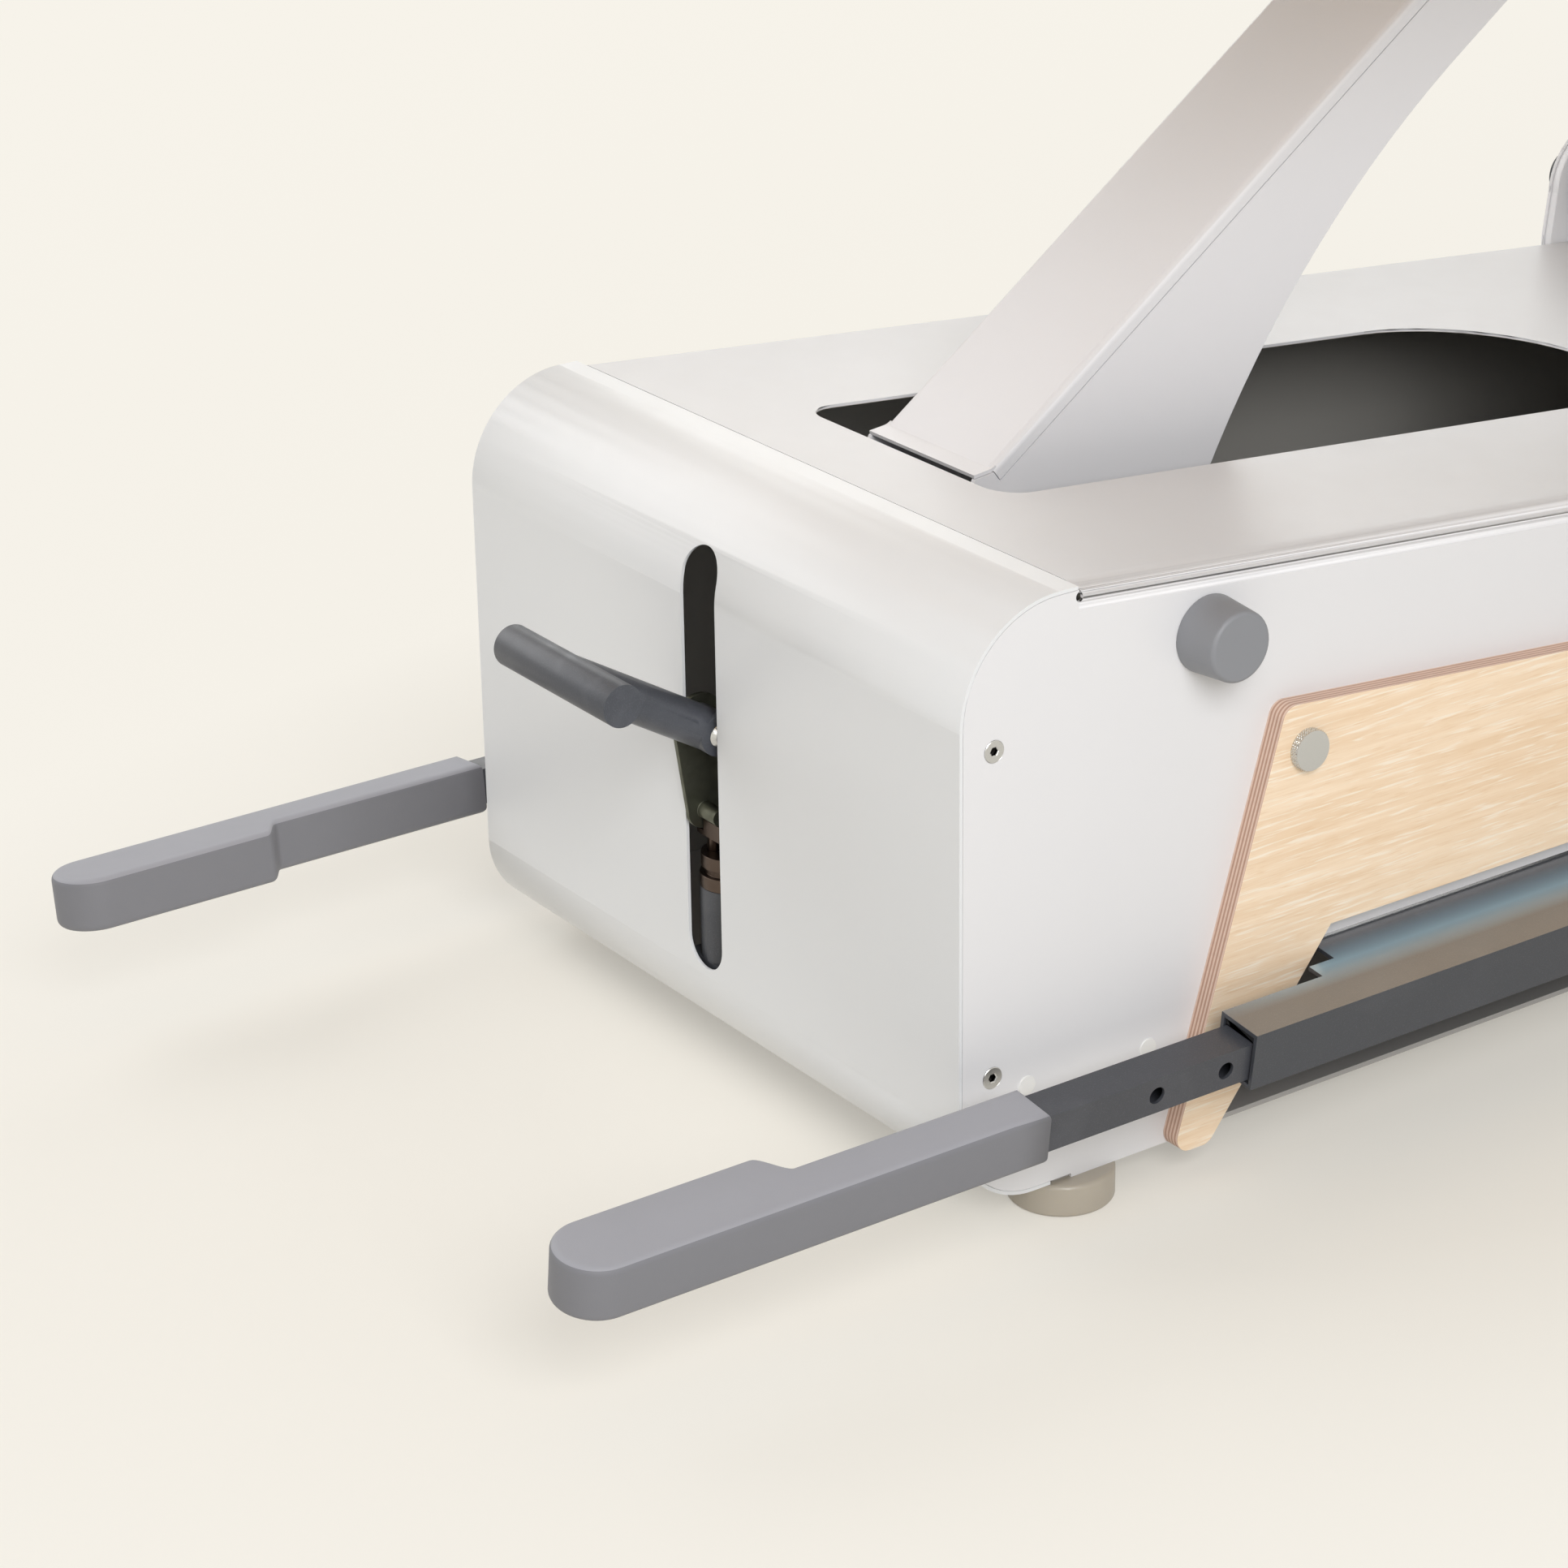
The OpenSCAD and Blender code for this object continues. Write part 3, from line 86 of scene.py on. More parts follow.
class Field:
    """A number or colour that varies over a surface, with the operators of plain numbers."""

    def __init__(self, graph: "Nodes", socket: bpy.types.NodeSocket) -> None:
        """Keeps the socket.

        Args:
            graph: Nodes that hold the socket.
            socket: Output that gives the value.
        """
        self.graph = graph
        self.socket = socket

    def _math(self, operation: str, *values: Number) -> "Field":
        """Adds one Math node on the given values."""
        return self.graph.node("Math", {"operation": operation}, dict(enumerate(values)))

    def __add__(self, other: Number) -> "Field":
        """Sum."""
        return self._math("ADD", self, other)

    def __radd__(self, other: Number) -> "Field":
        """Sum with a number on the left."""
        return self._math("ADD", other, self)

    def __sub__(self, other: Number) -> "Field":
        """Difference."""
        return self._math("SUBTRACT", self, other)

    def __rsub__(self, other: Number) -> "Field":
        """Difference with a number on the left."""
        return self._math("SUBTRACT", other, self)

    def __mul__(self, other: Number) -> "Field":
        """Product."""
        return self._math("MULTIPLY", self, other)

    def __rmul__(self, other: Number) -> "Field":
        """Product with a number on the left."""
        return self._math("MULTIPLY", other, self)

    def __abs__(self) -> "Field":
        """Absolute value."""
        return self._math("ABSOLUTE", self)

    def above(self, limit: float) -> "Field":
        """One where the value is above the limit, else zero."""
        return self._math("GREATER_THAN", self, limit)

    def most(self, other: Number) -> "Field":
        """The larger of two values."""
        return self._math("MAXIMUM", self, other)

    def wave(self, pitch: float) -> "Field":
        """Sine of the value over a pitch."""
        return self._math("SINE", self * (2 * math.pi / pitch))

    def spread(self, low: float, high: float, to_low: float = 0.0, to_high: float = 1.0) -> "Field":
        """Maps the value from one range to another and holds it there."""
        ends = {1: low, 2: high, 3: to_low, 4: to_high}
        return self.graph.node("MapRange", {"clamp": True}, {0: self, **ends})


class Nodes:
    """The nodes of a material or of the world."""

    def __init__(self, tree: bpy.types.NodeTree) -> None:
        """Empties the tree.

        Args:
            tree: Tree that takes the nodes.
        """
        self.tree = tree
        self.tree.nodes.clear()

    def add(self, kind: str, settings: Optional[dict] = None,
            inputs: Optional[dict] = None) -> bpy.types.Node:
        """Adds one node.

        Args:
            kind: Type of the node without its common prefix.
            settings: Properties that are set first.
            inputs: Values or fields by socket name or number.

        Returns:
            The node.
        """
        node = self.tree.nodes.new("ShaderNode" + kind)
        for key, value in (settings or {}).items():
            setattr(node, key, value)
        for key, value in (inputs or {}).items():
            self.plug(node.inputs[key], value)
        return node

    def node(self, kind: str, settings: Optional[dict] = None, inputs: Optional[dict] = None,
             output: Union[int, str] = 0) -> Field:
        """Adds one node and gives what comes out of one of its sockets."""
        return Field(self, self.add(kind, settings, inputs).outputs[output])

    def plug(self, socket: bpy.types.NodeSocket, value: Union[Field, float, Sequence[float]]) -> None:
        """Links a field to a socket, or sets the socket to a constant.

        Args:
            socket: Socket that is filled.
            value: Field, number or colour.
        """
        if isinstance(value, Field):
            self.tree.links.new(value.socket, socket)
        elif isinstance(value, tuple) and len(value) == 3 and len(socket.default_value) == 4:
            socket.default_value = (*value, 1.0)
        else:
            socket.default_value = value

    def seen(self) -> Field:
        """One where it is looked at straight, in a reflection or through glass, else zero."""
        camera, glossy, clear = (self.node("LightPath", output="Is " + way + " Ray")
                                 for way in ("Camera", "Glossy", "Transmission"))
        return (camera + glossy + clear).above(0.5)


class Graph(Nodes):
    """The nodes of one material."""

    def __init__(self, name: str) -> None:
        """Makes a material with its shader and output.

        Args:
            name: Name of the material.
        """
        self.material = bpy.data.materials.new(name)
        self.material.use_nodes = True
        super().__init__(self.material.node_tree)
        self.shader = self.add("BsdfPrincipled")
        self.surface = Field(self, self.shader.outputs[0])
        self.output = self.add("OutputMaterial", inputs={0: self.surface})

    def place(self) -> Field:
        """Position on the piece, in metres."""
        return self.node("TexCoord", output="Object")

    def normal(self, axis: str) -> Field:
        """One part of the surface's own direction, in the piece's frame."""
        turned = self.node("TexCoord", output="Normal")
        return self.node("SeparateXYZ", inputs={0: turned}, output=axis)

    def along(self, axis: str) -> Field:
        """One part of the position."""
        return self.node("SeparateXYZ", inputs={0: self.place()}, output=axis)

    def noise(self, scale: float, detail: float = 3.0, stretch: Sequence[float] = (1.0, 1.0, 1.0),
              warp: float = 0.0) -> Field:
        """Cloudy noise over the piece.

        Args:
            scale: Number of clouds in a metre.
            detail: Number of finer layers.
            stretch: Factor on each axis.
            warp: Distortion of the clouds.

        Returns:
            A field from 0 to 1.
        """
        spot = self.node("VectorMath", {"operation": "MULTIPLY"}, {0: self.place(), 1: tuple(stretch)})
        sockets = {"Vector": spot, "Scale": scale, "Detail": detail, "Distortion": warp}
        return self.node("TexNoise", {}, sockets)

    def cells(self, scale: float, feature: str = "F1") -> Field:
        """Distance to the nearest of many scattered points."""
        return self.node("TexVoronoi", {"feature": feature}, {"Vector": self.place(), "Scale": scale})

    def blend(self, factor: Number, first: Union[Field, Colour], second: Union[Field, Colour]) -> Field:
        """Mixes two colours."""
        return self.node("Mix", {"data_type": "RGBA"}, {0: factor, 6: first, 7: second}, output=2)

    def bump(self, height: Field, depth: float, strength: float = 1.0) -> Field:
        """Turns a height field into a surface direction; depth is in metres."""
        return self.node("Bump", {}, {"Strength": strength, "Distance": depth, "Height": height})

    def finish(self, **sockets: Union[Field, float, Sequence[float]]) -> bpy.types.Material:
        """Fills the shader's sockets.

        Args:
            sockets: Values or fields by socket name, in small letters with underscores for spaces.

        Returns:
            The material.
        """
        for name, value in sockets.items():
            self.plug(self.shader.inputs[name.replace("_", " ").title().replace("Ior", "IOR")], value)
        return self.material


@dataclass(frozen=True)
class Finish:
    """A finish with a colour; each kind paints it in its own way."""

    name: str
    colour: Colour

    def material(self) -> bpy.types.Material:
        """The finish's material, made once."""
        title = "finish_" + self.name
        return bpy.data.materials.get(title) or self.paint(Graph(title))

    def paint(self, graph: Graph) -> bpy.types.Material:
        """Fills the graph."""
        raise NotImplementedError


@dataclass(frozen=True)
class PowderCoat(Finish):
    """Baked satin paint with a faint orange peel."""

    roughness: float = 0.42
    peel: float = 0.00002
    dust: float = 0.05

    def tone(self, graph: Graph) -> Field:
        """The paint's colour with slight clouds."""
        clouds = graph.noise(5.0, 4.0).spread(0.35, 0.7)
        return graph.blend(clouds * self.dust, self.colour, tuple(0.82 * c for c in self.colour))

    def paint(self, graph: Graph) -> bpy.types.Material:
        """Paint with slight clouds in its tone and gloss.

        Args:
            graph: Graph of the material.

        Returns:
            The finished material.
        """
        fine = graph.noise(1400.0, 2.0)
        gloss = self.roughness + (graph.noise(60.0, 3.0) - 0.5) * 0.10
        return graph.finish(base_color=self.tone(graph), roughness=gloss,
                            normal=graph.bump(fine, self.peel), coat_weight=0.08, coat_roughness=0.25)


@dataclass(frozen=True)
class ShellCoat(PowderCoat):
    """Satin paint on a shell, with painted shade: darker faces that look up on the deck and a greyer tone
    inside the folded sheet.
    """

    # Greyer colour painted as shade on the inner side of the folded sheet.
    inside_shade: Colour = plain((165, 163, 158))
    bend: float = 0.013
    skin: float = 0.0017
    # Factor by which the deck is darkened as painted shade.
    deck_shade: float = 0.87

    def tone(self, graph: Graph) -> Field:
        """Paint outside, with painted shade that darkens the deck and a greyer painted shade inside the
        folded sheet.

        Args:
            graph: Graph of the material.

        Returns:
            The colour.
        """
        deck = SEAM_HEIGHT - (graph.along("X") - FRONT_SEAM) * DECK_FALL
        down = (self.bend - (deck - graph.along("Z"))).most(0.0)
        inwards = (self.bend - (HALF_WIDTH - abs(graph.along("Y")))).most(0.0)
        outer = (down * down + inwards * inwards).above((self.bend - self.skin) ** 2)
        paint = super().tone(graph)
        # Painted shade: faces that look up are darker than the walls.
        upwards = graph.normal("Z").above(0.9)
        paint = graph.blend(upwards, paint, tuple(self.deck_shade * c for c in self.colour))
        # Painted shade: the inner side of the sheet takes the greyer inside colour.
        return graph.blend(outer, self.inside_shade, paint)


@dataclass(frozen=True)
class DarkCoat(Finish):
    """Dark fine-textured paint, rubbed a little brighter in places."""

    roughness: float = 0.45
    wear: float = 0.25
    grain: float = 0.00006
    glaze: float = 0.0

    def wash(self, graph: Graph, tone: Field) -> Field:
        """Leaves the tone as it is."""
        return tone

    def paint(self, graph: Graph) -> bpy.types.Material:
        """Paint with a sandy grain, rubbed patches and a polish on the faces that look up.

        Args:
            graph: Graph of the material.

        Returns:
            The finished material.
        """
        sand = graph.noise(1500.0, 3.0)
        rubbed = graph.noise(16.0, 5.0, warp=0.6).spread(0.52, 0.72) * self.wear
        lighter = tuple(min(1.0, 1.9 * c + 0.02) for c in self.colour)
        tone = graph.blend(rubbed, self.colour, lighter)
        speckled = self.wash(graph, graph.blend(sand.spread(0.55, 0.7) * 0.35, tone, lighter))
        gloss = self.roughness + (graph.noise(90.0, 3.0) - 0.5) * 0.16 - rubbed * 0.2
        polish = graph.normal("Z").spread(0.8, 1.0) * self.glaze
        return graph.finish(base_color=speckled, roughness=gloss, normal=graph.bump(sand, self.grain),
                            coat_weight=polish, coat_roughness=0.24, coat_ior=2.4)


@dataclass(frozen=True)
class PaintedSheenCoat(DarkCoat):
    """Dark paint with a painted bluish sheen, a painted reflection, in a line along its upper face."""

    # Bluish colour of the painted reflection.
    sheen_tone: Colour = plain((140, 178, 198))
    share: float = 0.85
    middle: float = 0.258
    reach: float = 0.017
    end: float = 0.425
    fade: float = 0.07

    def wash(self, graph: Graph, tone: Field) -> Field:
        """Adds the painted sheen, a bluish painted reflection, in a line between the treadle's ends.

        Args:
            graph: Graph of the material.
            tone: Colour of the paint.

        Returns:
            The colour with its painted sheen line.
        """
        # Painted reflection: a bluish band on faces that look up, along a line on the treadle.
        across = abs(abs(graph.along("Y")) - self.middle).spread(self.reach, 0.0)
        along = abs(graph.along("X")).spread(self.end, self.end - self.fade)
        upwards = graph.normal("Z").above(0.9)
        return graph.blend(across * along * upwards * self.share, tone, self.sheen_tone)


@dataclass(frozen=True)
class Steel(Finish):
    """Bare or plated steel with fine brushing along one axis."""

    roughness: float = 0.28
    grain: Axis = Axis.Y
    spots: float = 0.0
    socket_level: float = 0.0
    # Near-black colour painted as shade deep in the sockets.
    socket_shade: Colour = plain((34, 33, 32))

    def paint(self, graph: Graph) -> bpy.types.Material:
        """Metal with brushing, crystal spots where it is galvanised, and painted shade darkening the sockets.

        Args:
            graph: Graph of the material.

        Returns:
            The finished material.
        """
        lines = graph.noise(2600.0, 2.0, self.grain.value)
        flakes = graph.cells(130.0)
        duller = tuple(0.55 * c for c in self.colour)
        tone = graph.blend(flakes.spread(0.1, 0.9) * self.spots, self.colour, duller)
        # Painted shade: points deeper than the socket level, the socket's bottom, are near black.
        if self.socket_level:
            outside = abs(graph.along("Y")).above(self.socket_level)
            tone = graph.blend(outside, self.socket_shade, tone)
        gloss = self.roughness + (lines - 0.5) * 0.16 + (flakes - 0.5) * 0.3 * self.spots
        return graph.finish(base_color=tone, metallic=1.0, roughness=gloss, normal=graph.bump(lines, 0.00001))


@dataclass(frozen=True)
class Oak(Finish):
    """Light oak veneer on plywood, with pale and brown layers on its edges."""

    thick_axis: str = "Y"
    first_layer: float = HALF_WIDTH
    layer: float = 0.0013
    brown: Colour = plain((190, 152, 132))
    pink: Colour = plain((232, 204, 186))
    stain: Colour = plain((140, 104, 84))

    def paint(self, graph: Graph) -> bpy.types.Material:
        """Veneer grain along X on the faces, and plies on the edges.

        Args:
            graph: Graph of the material.

        Returns:
            The finished material.
        """
        grain = graph.noise(190.0, 6.0, Axis.X.value, 0.5)
        pores = graph.noise(1000.0, 2.0, (0.06, 1.0, 1.0))
        limed = graph.noise(720.0, 3.0, (0.04, 1.0, 1.0), 0.3)
        streaks = graph.noise(14.0, 3.0, (0.12, 1.0, 1.0), 1.2)
        darker = tuple(c * k for c, k in zip(self.colour, (0.80, 0.66, 0.50)))
        paler = tuple(min(1.0, c * k) for c, k in zip(self.colour, (1.04, 1.16, 1.32)))
        veneer = graph.blend(grain.spread(0.35, 0.68) * 0.45, self.colour, darker)
        veneer = graph.blend(streaks.spread(0.5, 0.68) * 0.25, veneer, darker)
        veneer = graph.blend(pores.spread(0.56, 0.7) * 0.4, veneer, darker)
        veneer = graph.blend(limed.spread(0.54, 0.66) * 0.75, veneer, paler)
        depth = abs(graph.along(self.thick_axis)) - self.first_layer
        plies = depth.wave(2 * self.layer).spread(-0.3, 0.3)
        edge = graph.blend(plies, self.brown, self.pink)
        edge = graph.blend(graph.noise(400.0, 3.0, Axis.X.value) * 0.25, edge, self.stain)
        on_edge = 1.0 - abs(graph.normal(self.thick_axis)).above(0.6)
        tone = graph.blend(on_edge, veneer, edge)
        relief = pores * 0.6 + grain * 0.4 + plies * on_edge
        return graph.finish(base_color=tone, roughness=0.5 + (grain - 0.5) * 0.2,
                            normal=graph.bump(relief, 0.00003), coat_weight=0.06, coat_roughness=0.4)


@dataclass(frozen=True)
class Moulded(Finish):
    """Matt moulded plastic or rubber with a fine sparked texture."""

    roughness: float = 0.55
    spark: float = 0.00003
    spark_scale: float = 1800.0
    mottled: float = 0.06
    # Share of painted shade on the upright sides.
    flank_shade: float = 0.0

    def paint(self, graph: Graph) -> bpy.types.Material:
        """Plain colour with a stippled surface, and painted shade on the upright sides where asked.

        Args:
            graph: Graph of the material.

        Returns:
            The finished material.
        """
        stipple = graph.noise(self.spark_scale, 2.0)
        tone = graph.blend(graph.noise(28.0, 4.0).spread(0.3, 0.75) * self.mottled, self.colour,
                           tuple(0.6 * c for c in self.colour))
        # Painted shade: faces that stand upright are darker than those that look up.
        if self.flank_shade:
            upright = 1.0 - graph.normal("Z").above(0.6)
            tone = graph.blend(upright * self.flank_shade, tone, tuple(0.4 * c for c in self.colour))
        gloss = self.roughness + (graph.noise(120.0, 3.0) - 0.5) * 0.14
        return graph.finish(base_color=tone, roughness=gloss, normal=graph.bump(stipple, self.spark))


@dataclass(frozen=True)
class Milky(Finish):
    """Soft milky plastic that lets some light into its edge."""

    def paint(self, graph: Graph) -> bpy.types.Material:
        """Cloudy pale plastic with scattering under the surface.

        Args:
            graph: Graph of the material.

        Returns:
            The finished material.
        """
        cloud = graph.noise(45.0, 4.0)
        tone = graph.blend(cloud.spread(0.3, 0.7) * 0.25, self.colour, tuple(0.86 * c for c in self.colour))
        graph.shader.subsurface_method = "BURLEY"
        return graph.finish(base_color=tone, roughness=0.32 + (cloud - 0.5) * 0.1, subsurface_weight=0.35,
                            subsurface_radius=(0.012, 0.010, 0.006), subsurface_scale=0.4,
                            normal=graph.bump(graph.noise(300.0), 0.00002))


@dataclass(frozen=True)
class Upholstery(Finish):
    """Grained synthetic leather with soft creases."""

    def paint(self, graph: Graph) -> bpy.types.Material:
        """Leather grain in two sizes.

        Args:
            graph: Graph of the material.

        Returns:
            The finished material.
        """
        pebble = graph.cells(520.0)
        fine = graph.cells(1500.0)
        creases = graph.noise(24.0, 5.0, warp=0.8)
        tone = graph.blend(pebble.spread(0.2, 0.8) * 0.22, self.colour, tuple(0.72 * c for c in self.colour))
        paler = tuple(min(1.0, 1.35 * c) for c in self.colour)
        tone = graph.blend(creases.spread(0.45, 0.75) * 0.12, tone, paler)
        height = pebble * 0.7 + fine * 0.3 + creases * 1.6
        gloss = 0.46 + (pebble - 0.5) * 0.12
        return graph.finish(base_color=tone, roughness=gloss, normal=graph.bump(height, 0.00011))


WHITE = PowderCoat("white_paint", plain((230, 230, 232)))
SHELL = ShellCoat("shell_paint", plain((230, 230, 232)))
COVER = PowderCoat("cover_paint", plain((231, 233, 235)), roughness=0.38)
ARM = PowderCoat("arm_paint", plain((228, 228, 231)))
DARK = DarkCoat("dark_paint", plain((66, 68, 73)))
INNER = PowderCoat("frame_paint", plain((176, 174, 171)))
LEVER = DarkCoat("lever_paint", plain((69, 72, 79)), roughness=0.4, wear=0.55)
# Dark paint with a painted bluish sheen on the treadle.
TREADLE = PaintedSheenCoat("treadle_paint", plain((64, 67, 73)), roughness=0.36, wear=0.12, glaze=1.0)
TUBE = DarkCoat("tube_paint", plain((66, 68, 74)), roughness=0.4, wear=0.3)
NICKEL = Steel("nickel", plain((205, 205, 203)), roughness=0.24)
SCREW = Steel("screw_nickel", plain((205, 205, 203)), roughness=0.3,
              socket_level=HALF_WIDTH - 0.0005)
OILED = Steel("oiled_steel", plain((92, 80, 72)), roughness=0.36)
DULL = Steel("dull_zinc", plain((116, 118, 106)), roughness=0.48, spots=0.7)
OAK = Oak("side_oak", plain((251, 229, 201)))
BOARD = Oak("board_oak", plain((236, 208, 170)), thick_axis="Z", first_layer=0.7479)
CAP = Moulded("cap_plastic", plain((138, 140, 145)), roughness=0.48)
DARK_CAP = Moulded("dark_cap_plastic", plain((62, 64, 68)), roughness=0.5)
PLUG = Moulded("plug_plastic", plain((240, 240, 238)), roughness=0.42)
GUIDE = Moulded("guide_plastic", plain((30, 31, 33)), roughness=0.5)
BUSH = Moulded("bush_plastic", plain((150, 138, 112)), roughness=0.4)
# The grips carry painted shade on their sides.
GRIP = Moulded("grip_rubber", plain((162, 163, 170)), roughness=0.62, spark=0.00005, spark_scale=1300.0,
               flank_shade=0.7)
MILK = Milky("foot_plastic", plain((176, 168, 154)))
VINYL = Upholstery("upholstery", plain((112, 118, 126)))


def new_piece(name: str, mesh: bpy.types.Mesh, finish: Finish, body: str, *nodes: str) -> bpy.types.Object:
    """Makes an object of a mesh and lets it ride on a body.

    Args:
        name: Name of the piece.
        mesh: Mesh in the row's frame.
        finish: Finish of the piece.
        body: Body that it moves with.
        nodes: Solids that it stands for.

    Returns:
        The new object.
    """
    piece = bpy.data.objects.new(name, mesh)
    bpy.context.scene.collection.objects.link(piece)
    mesh.materials.append(finish.material())
    if nodes:
        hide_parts(*nodes)
    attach(piece, body)
    log.info("piece %s on %s, %d faces", name, body, len(mesh.polygons))
    return piece


def loops_mesh(name: str, loops: Sequence[Sequence[Vector]], closed_ends: bool = True,
               ring: bool = False) -> bpy.types.Mesh:
    """Skins a row of closed loops that have the same number of points.

    Args:
        name: Name of the mesh.
        loops: Points of each loop in order.
        closed_ends: True to close the first and last loop with a face.
        ring: True to join the last loop to the first.

    Returns:
        A smooth mesh whose faces point outwards.
    """
    shape = bmesh.new()
    rows = [[shape.verts.new(point) for point in loop] for loop in loops]
    count = len(rows[0])
    pairs = list(zip(rows, rows[1:] + (rows[:1] if ring else [])))
    for low, high in pairs:
        for i in range(count):
            j = (i + 1) % count
            shape.faces.new((low[i], low[j], high[j], high[i]))
    if closed_ends and not ring:
        shape.faces.new(rows[0][::-1])
        shape.faces.new(rows[-1])
    bmesh.ops.recalc_face_normals(shape, faces=shape.faces)
    for face in shape.faces:
        face.smooth = True
    mesh = bpy.data.meshes.new(name)
    shape.to_mesh(mesh)
    shape.free()
    return mesh


def soften(piece: bpy.types.Object, width: float, steps: int = 2, angle: float = 34.0) -> None:
    """Rounds a rigid piece's sharp edges and evens its shading.

    Args:
        piece: Object to round.
        width: Width of the rounding in metres.
        steps: Number of faces across the rounding.
        angle: Least angle of an edge that is rounded, in degrees.
    """
    weld = piece.modifiers.new("weld", "WELD")
    weld.merge_threshold = WELD_GAP
    flat = piece.modifiers.new("flat", "DECIMATE")
    flat.decimate_type = "DISSOLVE"
    flat.angle_limit = FLAT_ANGLE
    bevel = piece.modifiers.new("bevel", "BEVEL")
    bevel.width = width
    bevel.segments = steps
    bevel.limit_method = "ANGLE"
    bevel.angle_limit = math.radians(angle)
    bevel.use_clamp_overlap = True
    bevel.harden_normals = True


def dress(finish: Finish, *names: str, edge: float = 0.0006, steps: int = 2) -> None:
    """Gives CAD solids their finish and soft edges.

    Args:
        finish: Finish of the solids.
        names: Names of the solids.
        edge: Width of the rounding, or zero for none.
        steps: Number of faces across the rounding.
    """
    for name in names:
        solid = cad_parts[name]
        solid.data.materials.clear()
        solid.data.materials.append(finish.material())
        if edge:
            soften(solid, edge, steps)
        log.info("dressed %s with %s", name, finish.name)


@dataclass
class TurnedFitting:
    """Turned fitting on a side wall, such as a screw's head."""

    radius: float
    height: float
    chamfer: float = 0.0006
    socket: float = 0.0
    socket_depth: float = 0.0
    knurl: float = 0.0
    pitch: float = 0.0017
    points: int = 72
    root: float = 0.002
    knurl_rings: int = 13
    tip: float = 0.0003
    dome: float = 0.0001

    def loop(self, radius: float, depth: float, hexagon: bool = False, cut: float = 0.0) -> list[Vector]:
        """Points of one ring, with the axis along Z.

        Args:
            radius: Radius of the ring, or half the width across the flats of a hexagon.
            depth: Height of the ring.
            hexagon: True for a six-sided ring.
            cut: Depth of the diamond knurling.

        Returns:
            The ring's points.
        """
        ring = []
        for i in range(self.points):
            turn = 2 * math.pi * i / self.points
            reach = radius / math.cos((turn % (math.pi / 3)) - math.pi / 6) if hexagon else radius
            if cut:
                across = turn * self.radius / self.pitch
                up = depth / self.pitch
                first = abs((across + up) % 1.0 - 0.5)
                second = abs((across - up) % 1.0 - 0.5)
                reach -= cut * 2 * (0.5 - min(first, second))
            ring.append(Vector((reach * math.cos(turn), reach * math.sin(turn), depth)))
        return ring

    def rings(self) -> list[list[Vector]]:
        """All rings of the fitting.

        Returns:
            Points of each ring, from the hidden root to the middle of the face.
        """
        rows = [self.loop(self.radius - self.chamfer, depth) for depth in (-self.root, 0.0)]
        if self.knurl:
            for i in range(self.knurl_rings):
                depth = self.chamfer + (self.height - 2 * self.chamfer) * i / (self.knurl_rings - 1)
                rows.append(self.loop(self.radius, depth, cut=self.knurl))
        else:
            rows.append(self.loop(self.radius, self.chamfer))
            rows.append(self.loop(self.radius, self.height - self.chamfer))
        rows.append(self.loop(self.radius - 1.2 * self.chamfer, self.height))
        if self.socket:
            rows.append(self.loop(self.socket + 0.0005, self.height, hexagon=True))
            rows.append(self.loop(self.socket, self.height - 0.0004, hexagon=True))
            rows.append(self.loop(self.socket, self.height - self.socket_depth, hexagon=True))
            rows.append(self.loop(self.tip, self.height - self.socket_depth - 0.0006))
        else:
            rows.append(self.loop(0.6 * self.radius, self.height + self.dome))
            rows.append(self.loop(self.tip, self.height + self.dome))
        return rows

    def mesh(self, name: str, places: Sequence[Vector], side: Callable[[Vector], float]) -> bpy.types.Mesh:
        """One mesh with a fitting at each place.

        Args:
            name: Name of the mesh.
            places: Points on the walls.
            side: Gives -1 or 1, the way along Y that a place looks.

        Returns:
            The mesh in the row's frame.
        """
        shape = bmesh.new()
        for place in places:
            turn = Matrix.Rotation(-side(place) * math.pi / 2, 4, "X")
            rows = [[shape.verts.new(place + turn @ p) for p in ring] for ring in self.rings()]
            for low, high in zip(rows, rows[1:]):
                for i in range(self.points):
                    j = (i + 1) % self.points
                    shape.faces.new((low[i], low[j], high[j], high[i]))
            shape.faces.new(rows[0][::-1])
            shape.faces.new(rows[-1])
        bmesh.ops.recalc_face_normals(shape, faces=shape.faces)
        mesh = bpy.data.meshes.new(name)
        shape.to_mesh(mesh)
        shape.free()
        return mesh


